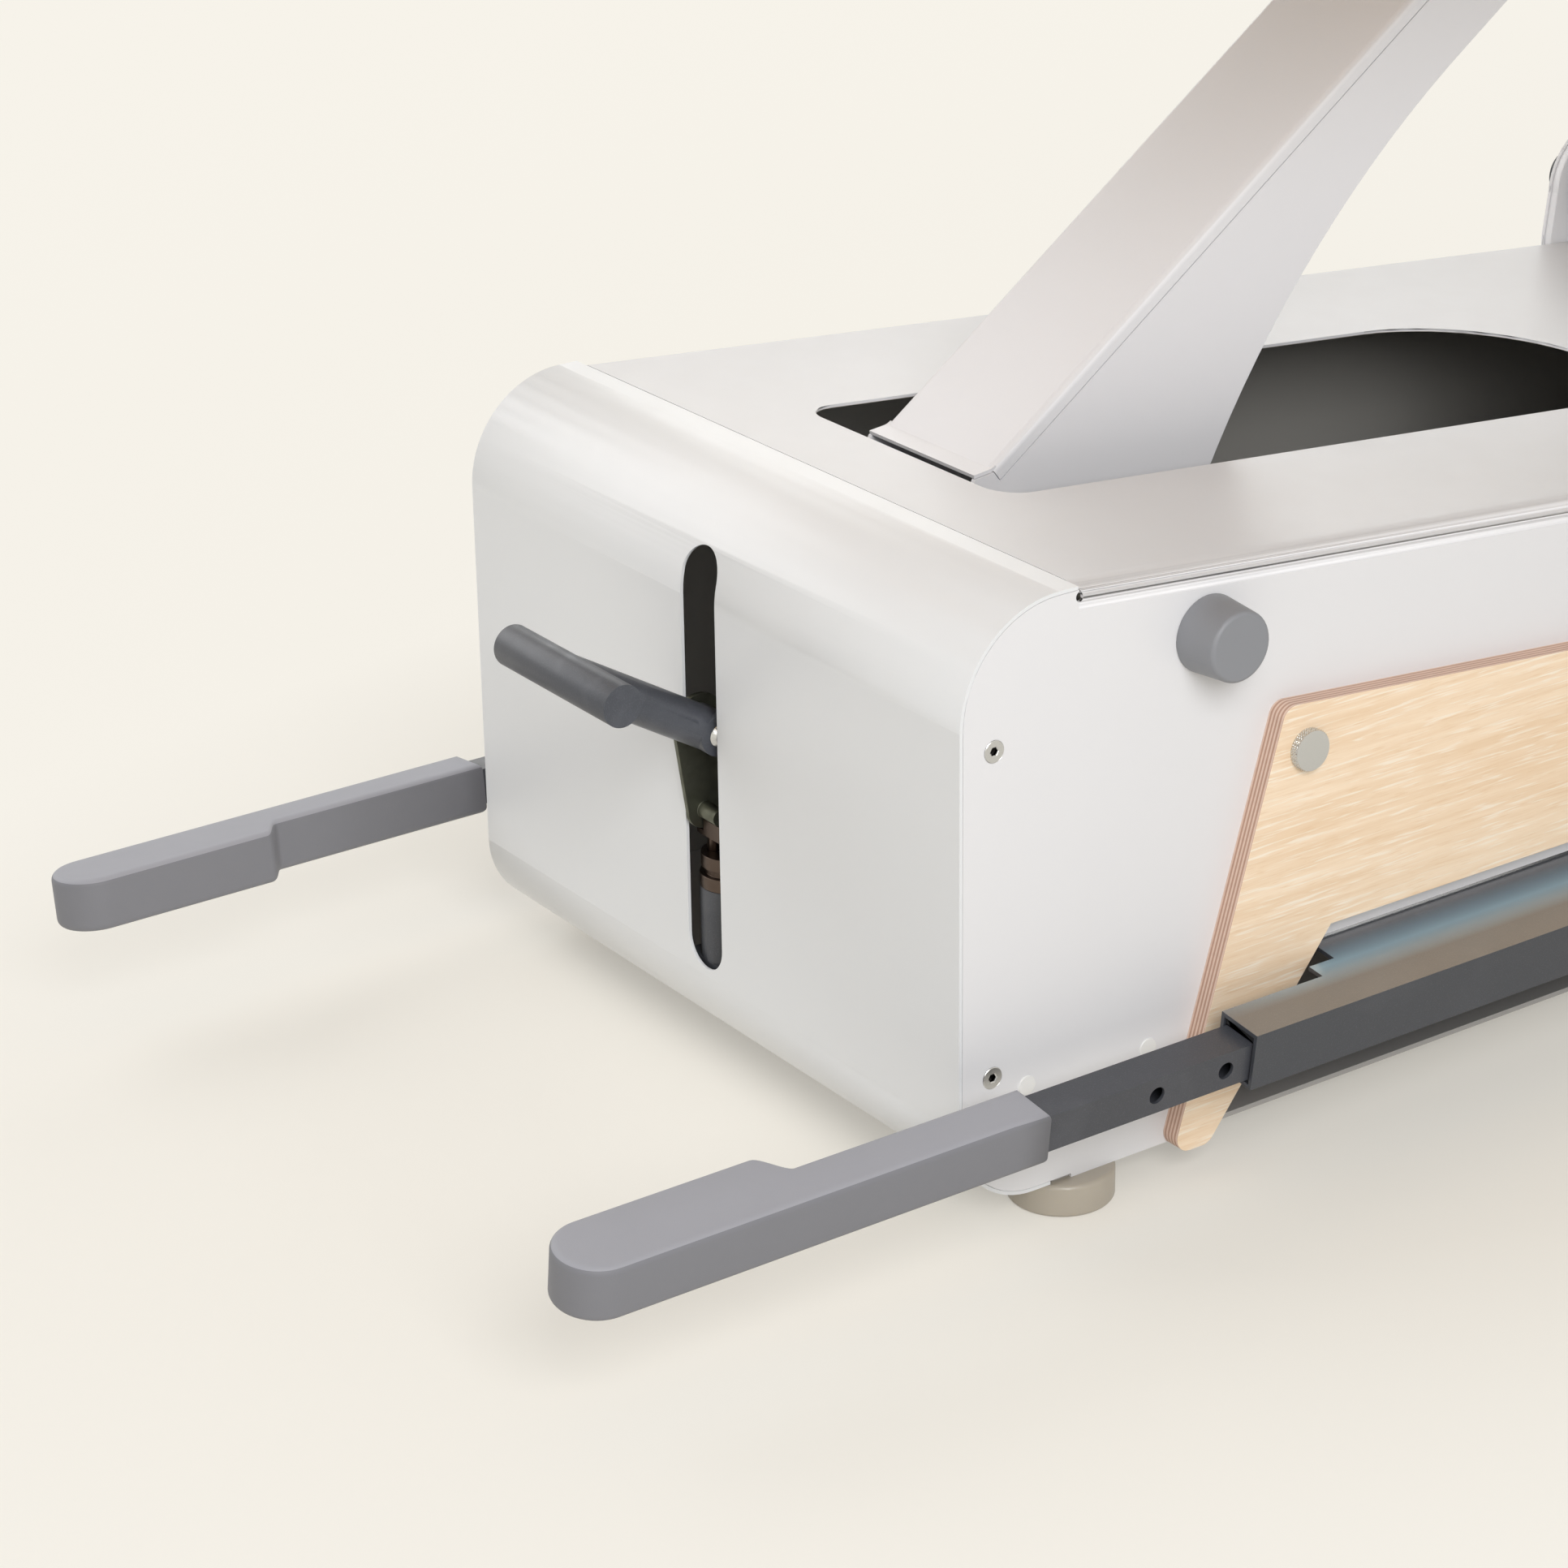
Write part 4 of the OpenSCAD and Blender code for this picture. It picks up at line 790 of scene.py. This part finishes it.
@dataclass
class BaseUnit:
    """Folded base with its covers, side panels, feet and screws."""

    panel: float = 0.012
    screw_x: float = 0.0538
    screw_drops: Point = (0.0769, 0.2618)
    thumb: Point = (0.147, 0.122)

    def screw_places(self) -> list[Vector]:
        """Where the cover screws sit.

        Returns:
            Middle of each screw's head on the side walls.
        """
        rear_height = SEAM_HEIGHT + 2 * FRONT_SEAM * DECK_FALL
        spots = []
        for side in (-1, 1):
            for drop in self.screw_drops:
                front = FRONT_SEAM - self.screw_x
                low = SEAM_HEIGHT - drop
                rear = rear_height - drop if drop == self.screw_drops[0] else low
                spots.append(Vector((front, side * HALF_WIDTH, low)))
                spots.append(Vector((-front, side * HALF_WIDTH, rear)))
        return spots

    def thumb_places(self) -> list[Vector]:
        """Where the thumb screws sit.

        Returns:
            Middle of each screw's root on the side panels.
        """
        x, drop = FRONT_SEAM + self.thumb[0], self.thumb[1]
        level = SEAM_HEIGHT - drop
        outside = HALF_WIDTH + self.panel
        return [Vector((s * x, side * outside, level + (0.0 if s > 0 else 2 * x * DECK_FALL)))
                for side in (-1, 1) for s in (1, -1)]

    def build(self) -> None:
        """Dresses the base and adds its screws."""
        dress(SHELL, "base_shell", edge=0.0005)
        dress(WHITE, "pivot_plates", edge=0.0006)
        dress(COVER, "front_cover", "rear_cover", edge=0.0005)
        dress(OAK, "side_panel_near", "side_panel_far", edge=0.0012, steps=3)
        dress(INNER, "base_frame", edge=0.0006)
        dress(NICKEL, "front_pivot_shaft", "rear_pivot_shaft", "treadle_shafts", "ram_foot_pin", edge=0.0004)
        dress(CAP, "front_pivot_caps", edge=0.0008, steps=3)
        dress(DARK_CAP, "rear_pivot_caps", edge=0.0008, steps=3)
        dress(PLUG, "hole_plugs", edge=0.0005, steps=3)
        dress(MILK, "foot_pads", edge=0.0009, steps=3)
        head = TurnedFitting(0.0062, 0.0005, 0.0003, socket=0.0021, socket_depth=0.0022)
        mesh = head.mesh("screw_heads", self.screw_places(), lambda place: math.copysign(1, place.y))
        new_piece("cover_screw_heads", mesh, SCREW, "base", "cover_screws")
        knob = TurnedFitting(0.0121, 0.0052, 0.0006, knurl=0.0007, points=240)
        mesh = knob.mesh("thumb_heads", self.thumb_places(), lambda place: math.copysign(1, place.y))
        new_piece("knurled_thumb_screws", mesh, NICKEL, "base", "panel_thumb_screws")


@dataclass
class PumpUnit:
    """Hand pump behind the slot, with its lever, and the ram."""

    def build(self) -> None:
        """Dresses the pump, the lever and the ram."""
        dress(DARK, "pump_body", "ram_barrel", edge=0.0008)
        dress(OILED, "pump_gland", "pump_plunger", edge=0.0004)
        dress(NICKEL, "hydraulic_line", "ram_rod", "ram_head_pin", edge=0.0004)
        dress(LEVER, "pump_lever", edge=0.0012, steps=3)
        dress(DULL, "pump_crank", edge=0.0003)
        dress(NICKEL, "pump_lever_bolt", edge=0.0005)


@dataclass
class LiftUnit:
    """Curved lifting arm and the rear links."""

    def build(self) -> None:
        """Dresses the arm and the links."""
        dress(ARM, "arm_side_near", "arm_side_far", "arm_front_panel", "arm_spine", edge=0.0004)
        dress(DARK, "arm_pivot_tube", "arm_head_tube", "rear_link_near", "rear_link_far",
              "rear_cross_tube", edge=0.001)
        dress(BUSH, "arm_bushes", "rear_bushes", edge=0.0003)


@dataclass
class Cushion:
    """Upholstered cushion with a box border, a sewn seam and a crowned top."""

    x0: float
    x1: float
    width: float
    z0: float
    z1: float
    lean: float
    lean_side: int
    corner: float
    soft_corner: float = 0.006
    steps: int = 10
    edge: float = 0.013
    side_steps: int = 14
    least_radius: float = 0.002
    seat: float = 0.0004
    foot: float = 0.006
    foot_inset: float = 0.0006
    seam: float = 0.0044
    seam_inset: float = 0.0008
    crown: float = 0.0034
    rim_drop: float = 0.0007
    rim_wide: float = 0.012
    rim_round: float = 0.010

    def outline(self, z: float, inset: float) -> list[Vector]:
        """Rounded plan outline at a height.

        Args:
            z: Height.
            inset: Distance drawn in from the full plan.

        Returns:
            Points, the same number for every call.
        """
        shift = (z - self.z0) * math.tan(math.radians(self.lean))
        low_x = self.x0 + (shift if self.lean_side < 0 else 0.0) + inset
        high_x = self.x1 - (shift if self.lean_side > 0 else 0.0) - inset
        half = self.width / 2 - inset
        radii = {-1: self.soft_corner if self.lean_side < 0 else self.corner,
                 1: self.soft_corner if self.lean_side > 0 else self.corner}
        points = []
        for turn, (sx, sy) in enumerate(((1, 1), (-1, 1), (-1, -1), (1, -1))):
            radius = max(radii[sx] - inset, self.least_radius)
            x = (high_x if sx > 0 else low_x) - sx * radius
            y = sy * (half - radius)
            for i in range(self.steps):
                angle = math.radians(90 * turn + 90 * i / (self.steps - 1))
                points.append(Vector((x + radius * math.cos(angle), y + radius * math.sin(angle), z)))
            nxt = ((-1, 1), (-1, -1), (1, -1), (1, 1))[turn]
            end = points[-1]
            radius = max(radii[nxt[0]] - inset, self.least_radius)
            start_angle = math.radians(90 * (turn + 1))
            end_x = high_x if nxt[0] > 0 else low_x
            corner = Vector((end_x - nxt[0] * radius, nxt[1] * (half - radius), z))
            goal = corner + radius * Vector((math.cos(start_angle), math.sin(start_angle), 0))
            points.extend(end.lerp(goal, k / self.side_steps) for k in range(1, self.side_steps))
        return points

    def profile(self) -> list[Point]:
        """Shape of the border and of the crown's edge.

        Returns:
            Inset and height of each ring, from the board up to the crown.
        """
        low, top = self.z0 + self.seat, self.z1
        inset = self.foot_inset
        rows = [(0.016, low), (0.004, low), (0.0015, low + 0.0015), (inset, low + self.foot)]
        side = top - self.edge - self.foot
        for i in range(1, 6):
            share = i / 6
            drawn_in = 0.0004 * math.sin(math.pi * share)
            rows.append((inset - drawn_in, low + self.foot + (side - low - self.foot) * share))
        rows.extend([(0.0009, side), (0.0022, side + 0.0016), (0.0026, side + 0.0022),
                     (0.0022, side + 0.0028), (self.seam_inset, side + self.seam)])
        rise = top - self.crown - side - self.seam
        for i in range(1, 8):
            angle = math.pi / 2 * i / 8
            rows.append((self.seam_inset + self.edge * (1 - math.cos(angle)),
                         side + self.seam + rise * math.sin(angle)))
        rows.extend([(self.edge + 0.004, top - 0.003), (self.edge + 0.014, top - 0.0018),
                     (self.edge + 0.035, top - self.rim_drop)])
        return rows

    def mesh(self, name: str, hole: Optional[Callable[[int, float, float], Vector]] = None) -> bpy.types.Mesh:
        """The cushion's mesh.

        Args:
            name: Name of the mesh.
            hole: Gives a point of an opening's rim by number, growth and height, or None for none.

        Returns:
            The mesh in the row's frame.
        """
        loops = [self.outline(z, inset) for inset, z in self.profile()]
        last = loops[-1]
        count = len(last)
        if hole is None:
            middle = (self.x0 + self.x1) / 2
            for share in (0.25, 0.5, 0.75, 0.93):
                loops.append([Vector((p.x + (middle - p.x) * share * 0.9, p.y * (1 - share), self.z1))
                              for p in last])
            return loops_mesh(name, loops)
        rim = [hole(i, self.rim_wide, self.z1 - self.rim_drop) for i in range(count)]
        for share in (0.33, 0.66, 1.0):
            loops.append([p.lerp(q, share) for p, q in zip(last, rim)])
        for i in range(1, 6):
            angle = math.pi / 2 * i / 5
            grow = self.rim_wide - self.rim_round * math.sin(angle)
            level = self.z1 - self.rim_drop - self.rim_round * (1 - math.cos(angle))
            loops.append([hole(k, grow, level) for k in range(count)])
        for z in (self.z1 - 0.028, self.z0 + 0.014, self.z0 + self.seat):
            loops.append([hole(k, 0.0015, z) for k in range(count)])
        return loops_mesh(name, loops, ring=True)


@dataclass
class TableTop:
    """Two-section top with its frame, boards, cushions and gas spring."""

    length: float = 1.95
    hinge_x: float = -0.415
    board_top: float = 0.76594
    pad_top: float = 0.82094
    width: float = 0.68
    gap: float = 0.014
    lean: float = 13.0
    corner: float = 0.045
    face_x: float = -0.785
    face: Point = (0.230, 0.110)

    def build(self) -> None:
        """Dresses the frames and adds both cushions."""
        dress(WHITE, "top_rail_near", "top_rail_far", "top_cross_tubes", "head_frame", edge=0.0012)
        dress(NICKEL, "top_front_shaft", "top_rear_shaft", "head_hinge_leaf", "gas_spring_anchor",
              "gas_spring_rod", edge=0.0004)
        dress(DARK, "gas_spring_body", edge=0.0006)
        dress(BOARD, "body_board", "head_board", edge=0.0015, steps=3)
        body = Cushion(self.hinge_x + self.gap / 2, self.length / 2, self.width, self.board_top, self.pad_top,
                       self.lean, -1, self.corner)
        mesh = body.mesh("body_upholstery")
        piece = new_piece("body_upholstery", mesh, VINYL, "top_frame", "body_cushion")
        head = Cushion(-self.length / 2, self.hinge_x - self.gap / 2, self.width, self.board_top,
                       self.pad_top, self.lean, 1, self.corner)
        outer = head.outline(self.board_top, 0.05)

        def rim(i: int, grow: float, z: float) -> Vector:
            """Point of the breathing opening's rim.

            Args:
                i: Number of the outline point that it answers to.
                grow: Distance outside the opening.
                z: Height.

            Returns:
                The point.
            """
            half = (self.face[0] - self.face[1]) / 2
            radius = self.face[1] / 2 + grow
            step = Vector((outer[i].x - self.face_x, outer[i].y, 0))
            turn = math.atan2(step.y, step.x)
            centre = half * max(-1.0, min(1.0, 2.2 * math.cos(turn)))
            return Vector((self.face_x + centre + radius * math.cos(turn), radius * math.sin(turn), z))

        mesh = head.mesh("head_upholstery", rim)
        piece = new_piece("head_upholstery", mesh, VINYL, "head", "head_cushion")


@dataclass
class FootBars:
    """Treadles at both sides with their sliding tubes and grips."""

    roll: float = math.radians(7.0)
    out: float = 0.2896
    level: float = 0.0698
    tip: float = -0.8193
    length: float = 0.284
    step: float = 0.127
    wide: float = 0.046
    narrow: float = 0.029
    height: float = 0.0317
    soft: float = 0.0042
    shoulder: float = 0.016
    arc_steps: int = 24
    steps: int = 12

    def outline(self, inset: float) -> list[Point]:
        """Plan of a grip along X and inwards from its outer side.

        Args:
            inset: Distance drawn in from the full plan.

        Returns:
            Points along X and inwards, the same number for every call.
        """
        radius = self.wide / 2
        x0, x1 = self.tip, self.tip + self.length - inset
        points = []
        for i in range(self.arc_steps + 1):
            angle = math.radians(90 + 180 * i / self.arc_steps)
            reach = radius - inset
            points.append((x0 + radius + reach * math.cos(angle), radius + reach * math.sin(angle)))
        straight = [(x0 + radius + (x1 - x0 - radius) * k / self.steps, inset)
                    for k in range(1, self.steps + 1)]
        step = x0 + self.step
        blend = []
        for k in range(self.steps + 1):
            share = k / self.steps
            ease = share * share * (3 - 2 * share)
            blend.append((step + (self.shoulder - 0.3 * inset) * (1 - share),
                          self.narrow + (self.wide - self.narrow) * ease - inset))
        return points + straight + [(x1, self.narrow - inset)] + blend

    def place(self, side: int, x: float, s: float, t: float) -> Vector:
        """A bar's own point in the row's frame.

        Args:
            side: -1 for the near side, 1 for the far side.
            x: Place along X.
            s: Distance inwards from the bar's outer side.
            t: Height above the bar's underside.

        Returns:
            The point.
        """
        y = -self.out + s * math.cos(self.roll) - t * math.sin(self.roll)
        z = self.level + s * math.sin(self.roll) + t * math.cos(self.roll)
        return Vector((x, -side * y, z))

    def grip(self, side: int) -> bpy.types.Mesh:
        """Soft-edged grip with a flat top.

        Args:
            side: -1 for the near side, 1 for the far side.

        Returns:
            The mesh in the row's frame.
        """
        rows = []
        for i in range(7):
            angle = math.pi / 2 * i / 6
            rows.append((self.soft * (1 - math.sin(angle)), self.soft * (1 - math.cos(angle))))
        rows = rows + [(inset, self.height - t) for inset, t in rows[::-1]]
        loops = [[self.place(side, x, s, t) for x, s in self.outline(inset)] for inset, t in rows]
        return loops_mesh("grip", loops)

    def build(self) -> None:
        """Dresses both treadles and adds the grips."""
        dress(TREADLE, "treadle_near", "treadle_far", edge=0.0014, steps=3)
        dress(GUIDE, "treadle_guides_near", "treadle_guides_far", edge=0.0006)
        dress(TUBE, "foot_tube_near", "foot_tube_far", edge=0.0015, steps=3)
        for side, word in ((-1, "near"), (1, "far")):
            new_piece("rubber_grip_" + word, self.grip(side), GRIP, "foot_bar_" + word, "foot_grip_" + word)


@dataclass(frozen=True)
class Lamp:
    """Square soft lamp, with its side in metres and its power in watts."""

    name: str
    spot: Place
    size: float
    power: float
    colour: Colour

    def build(self, aim: Place) -> None:
        """Hangs the lamp.

        Args:
            aim: The point that it looks at.
        """
        data = bpy.data.lights.new(self.name, "AREA")
        data.size = self.size
        data.energy = self.power
        data.color = self.colour
        lamp = bpy.data.objects.new(self.name, data)
        bpy.context.scene.collection.objects.link(lamp)
        lamp.location = self.spot
        lamp.rotation_euler = (Vector(aim) - Vector(self.spot)).to_track_quat("-Z", "Y").to_euler()


LAMPS = (Lamp("key", (-1.46, -2.61, 2.07), 1.6, 70.0, (0.99, 0.99, 1.0)),
         Lamp("rim", (-1.47, 2.2, 1.78), 2.4, 38.0, (0.97, 0.98, 1.0)),
         Lamp("rear", (1.7, 2.6, 1.7), 2.0, 22.0, (0.92, 0.97, 1.0)))


@dataclass
class Studio:
    """Pale floor, soft lamps and the camera."""

    eye: Place = (-1.7288, -1.7812, 1.1106)
    right: Place = (0.8183, -0.5746, -0.0148)
    up: Place = (0.2395, 0.3175, 0.9175)
    back: Place = (-0.5225, -0.7544, 0.3974)
    lens: float = 96.70
    sensor: float = 36.0
    view_depth: float = 50.0
    aim: Place = (-0.3, -0.1, 0.25)
    ground: Colour = plain((247, 243, 234))
    daylight: Colour = (1.0, 0.99, 0.97)
    daylight_power: float = 0.34
    paper_tone: float = 0.92
    oval: Place = (0.55, 1.0, 1.0)
    floor_size: float = 12.0
    shadow_end: float = 0.72

    def camera(self) -> None:
        """Camera at the photograph's viewing angle."""
        data = bpy.data.cameras.new("camera")
        data.lens = self.lens
        data.sensor_width = self.sensor
        data.clip_end = self.view_depth
        camera = bpy.data.objects.new("camera", data)
        bpy.context.scene.collection.objects.link(camera)
        columns = (*zip(self.right, self.up, self.back, self.eye), (0.0, 0.0, 0.0, 1.0))
        camera.matrix_world = Matrix(columns)
        bpy.context.scene.camera = camera

    def world(self) -> None:
        """Even pale surroundings, shown in the floor's colour where they are looked at."""
        world = bpy.data.worlds.new("studio")
        world.use_nodes = True
        nodes = Nodes(world.node_tree)
        shown = nodes.node("Background", inputs={0: self.ground})
        light = nodes.node("Background", inputs={0: self.daylight, 1: self.daylight_power})
        mixed = nodes.node("MixShader", inputs={0: nodes.seen(), 1: light, 2: shown})
        nodes.add("OutputWorld", inputs={0: mixed})
        bpy.context.scene.world = world

    def floor(self) -> None:
        """Wide pale floor that keeps the object's soft shadow and grows even away from it."""
        shape = bmesh.new()
        bmesh.ops.create_grid(shape, x_segments=8, y_segments=8, size=self.floor_size)
        mesh = bpy.data.meshes.new("floor")
        shape.to_mesh(mesh)
        shape.free()
        floor = bpy.data.objects.new("floor", mesh)
        bpy.context.scene.collection.objects.link(floor)
        graph = Graph("floor_paper")
        material = graph.finish(base_color=tuple(self.paper_tone * c for c in self.ground), roughness=0.9)
        glow = graph.node("Emission", inputs={0: self.ground, 1: 1.0})
        oval = graph.node("VectorMath", {"operation": "MULTIPLY"}, {0: graph.place(), 1: self.oval})
        away = graph.node("VectorMath", {"operation": "LENGTH"}, {0: oval}, output="Value")
        share = away.spread(0.42, self.shadow_end, 0.38, 0.92) + away.spread(self.shadow_end, 2.6, 0.0, 0.08)
        mixed = graph.node("MixShader", inputs={0: graph.seen() * share, 1: graph.surface, 2: glow})
        graph.plug(graph.output.inputs[0], mixed)
        mesh.materials.append(material)

    def build(self) -> None:
        """Makes the floor, the lamps and the camera."""
        self.world()
        self.floor()
        for lamp in LAMPS:
            lamp.build(self.aim)
        self.camera()
        bpy.context.scene.view_settings.view_transform = "Standard"


def main() -> None:
    """Builds the scene in order."""
    logging.basicConfig(level=logging.INFO, format="%(name)s: %(message)s")
    Studio().build()
    for unit in (BaseUnit(), PumpUnit(), LiftUnit(), TableTop(), FootBars()):
        log.info("building %s", type(unit).__name__)
        unit.build()


if __name__ == "__main__":
    main()
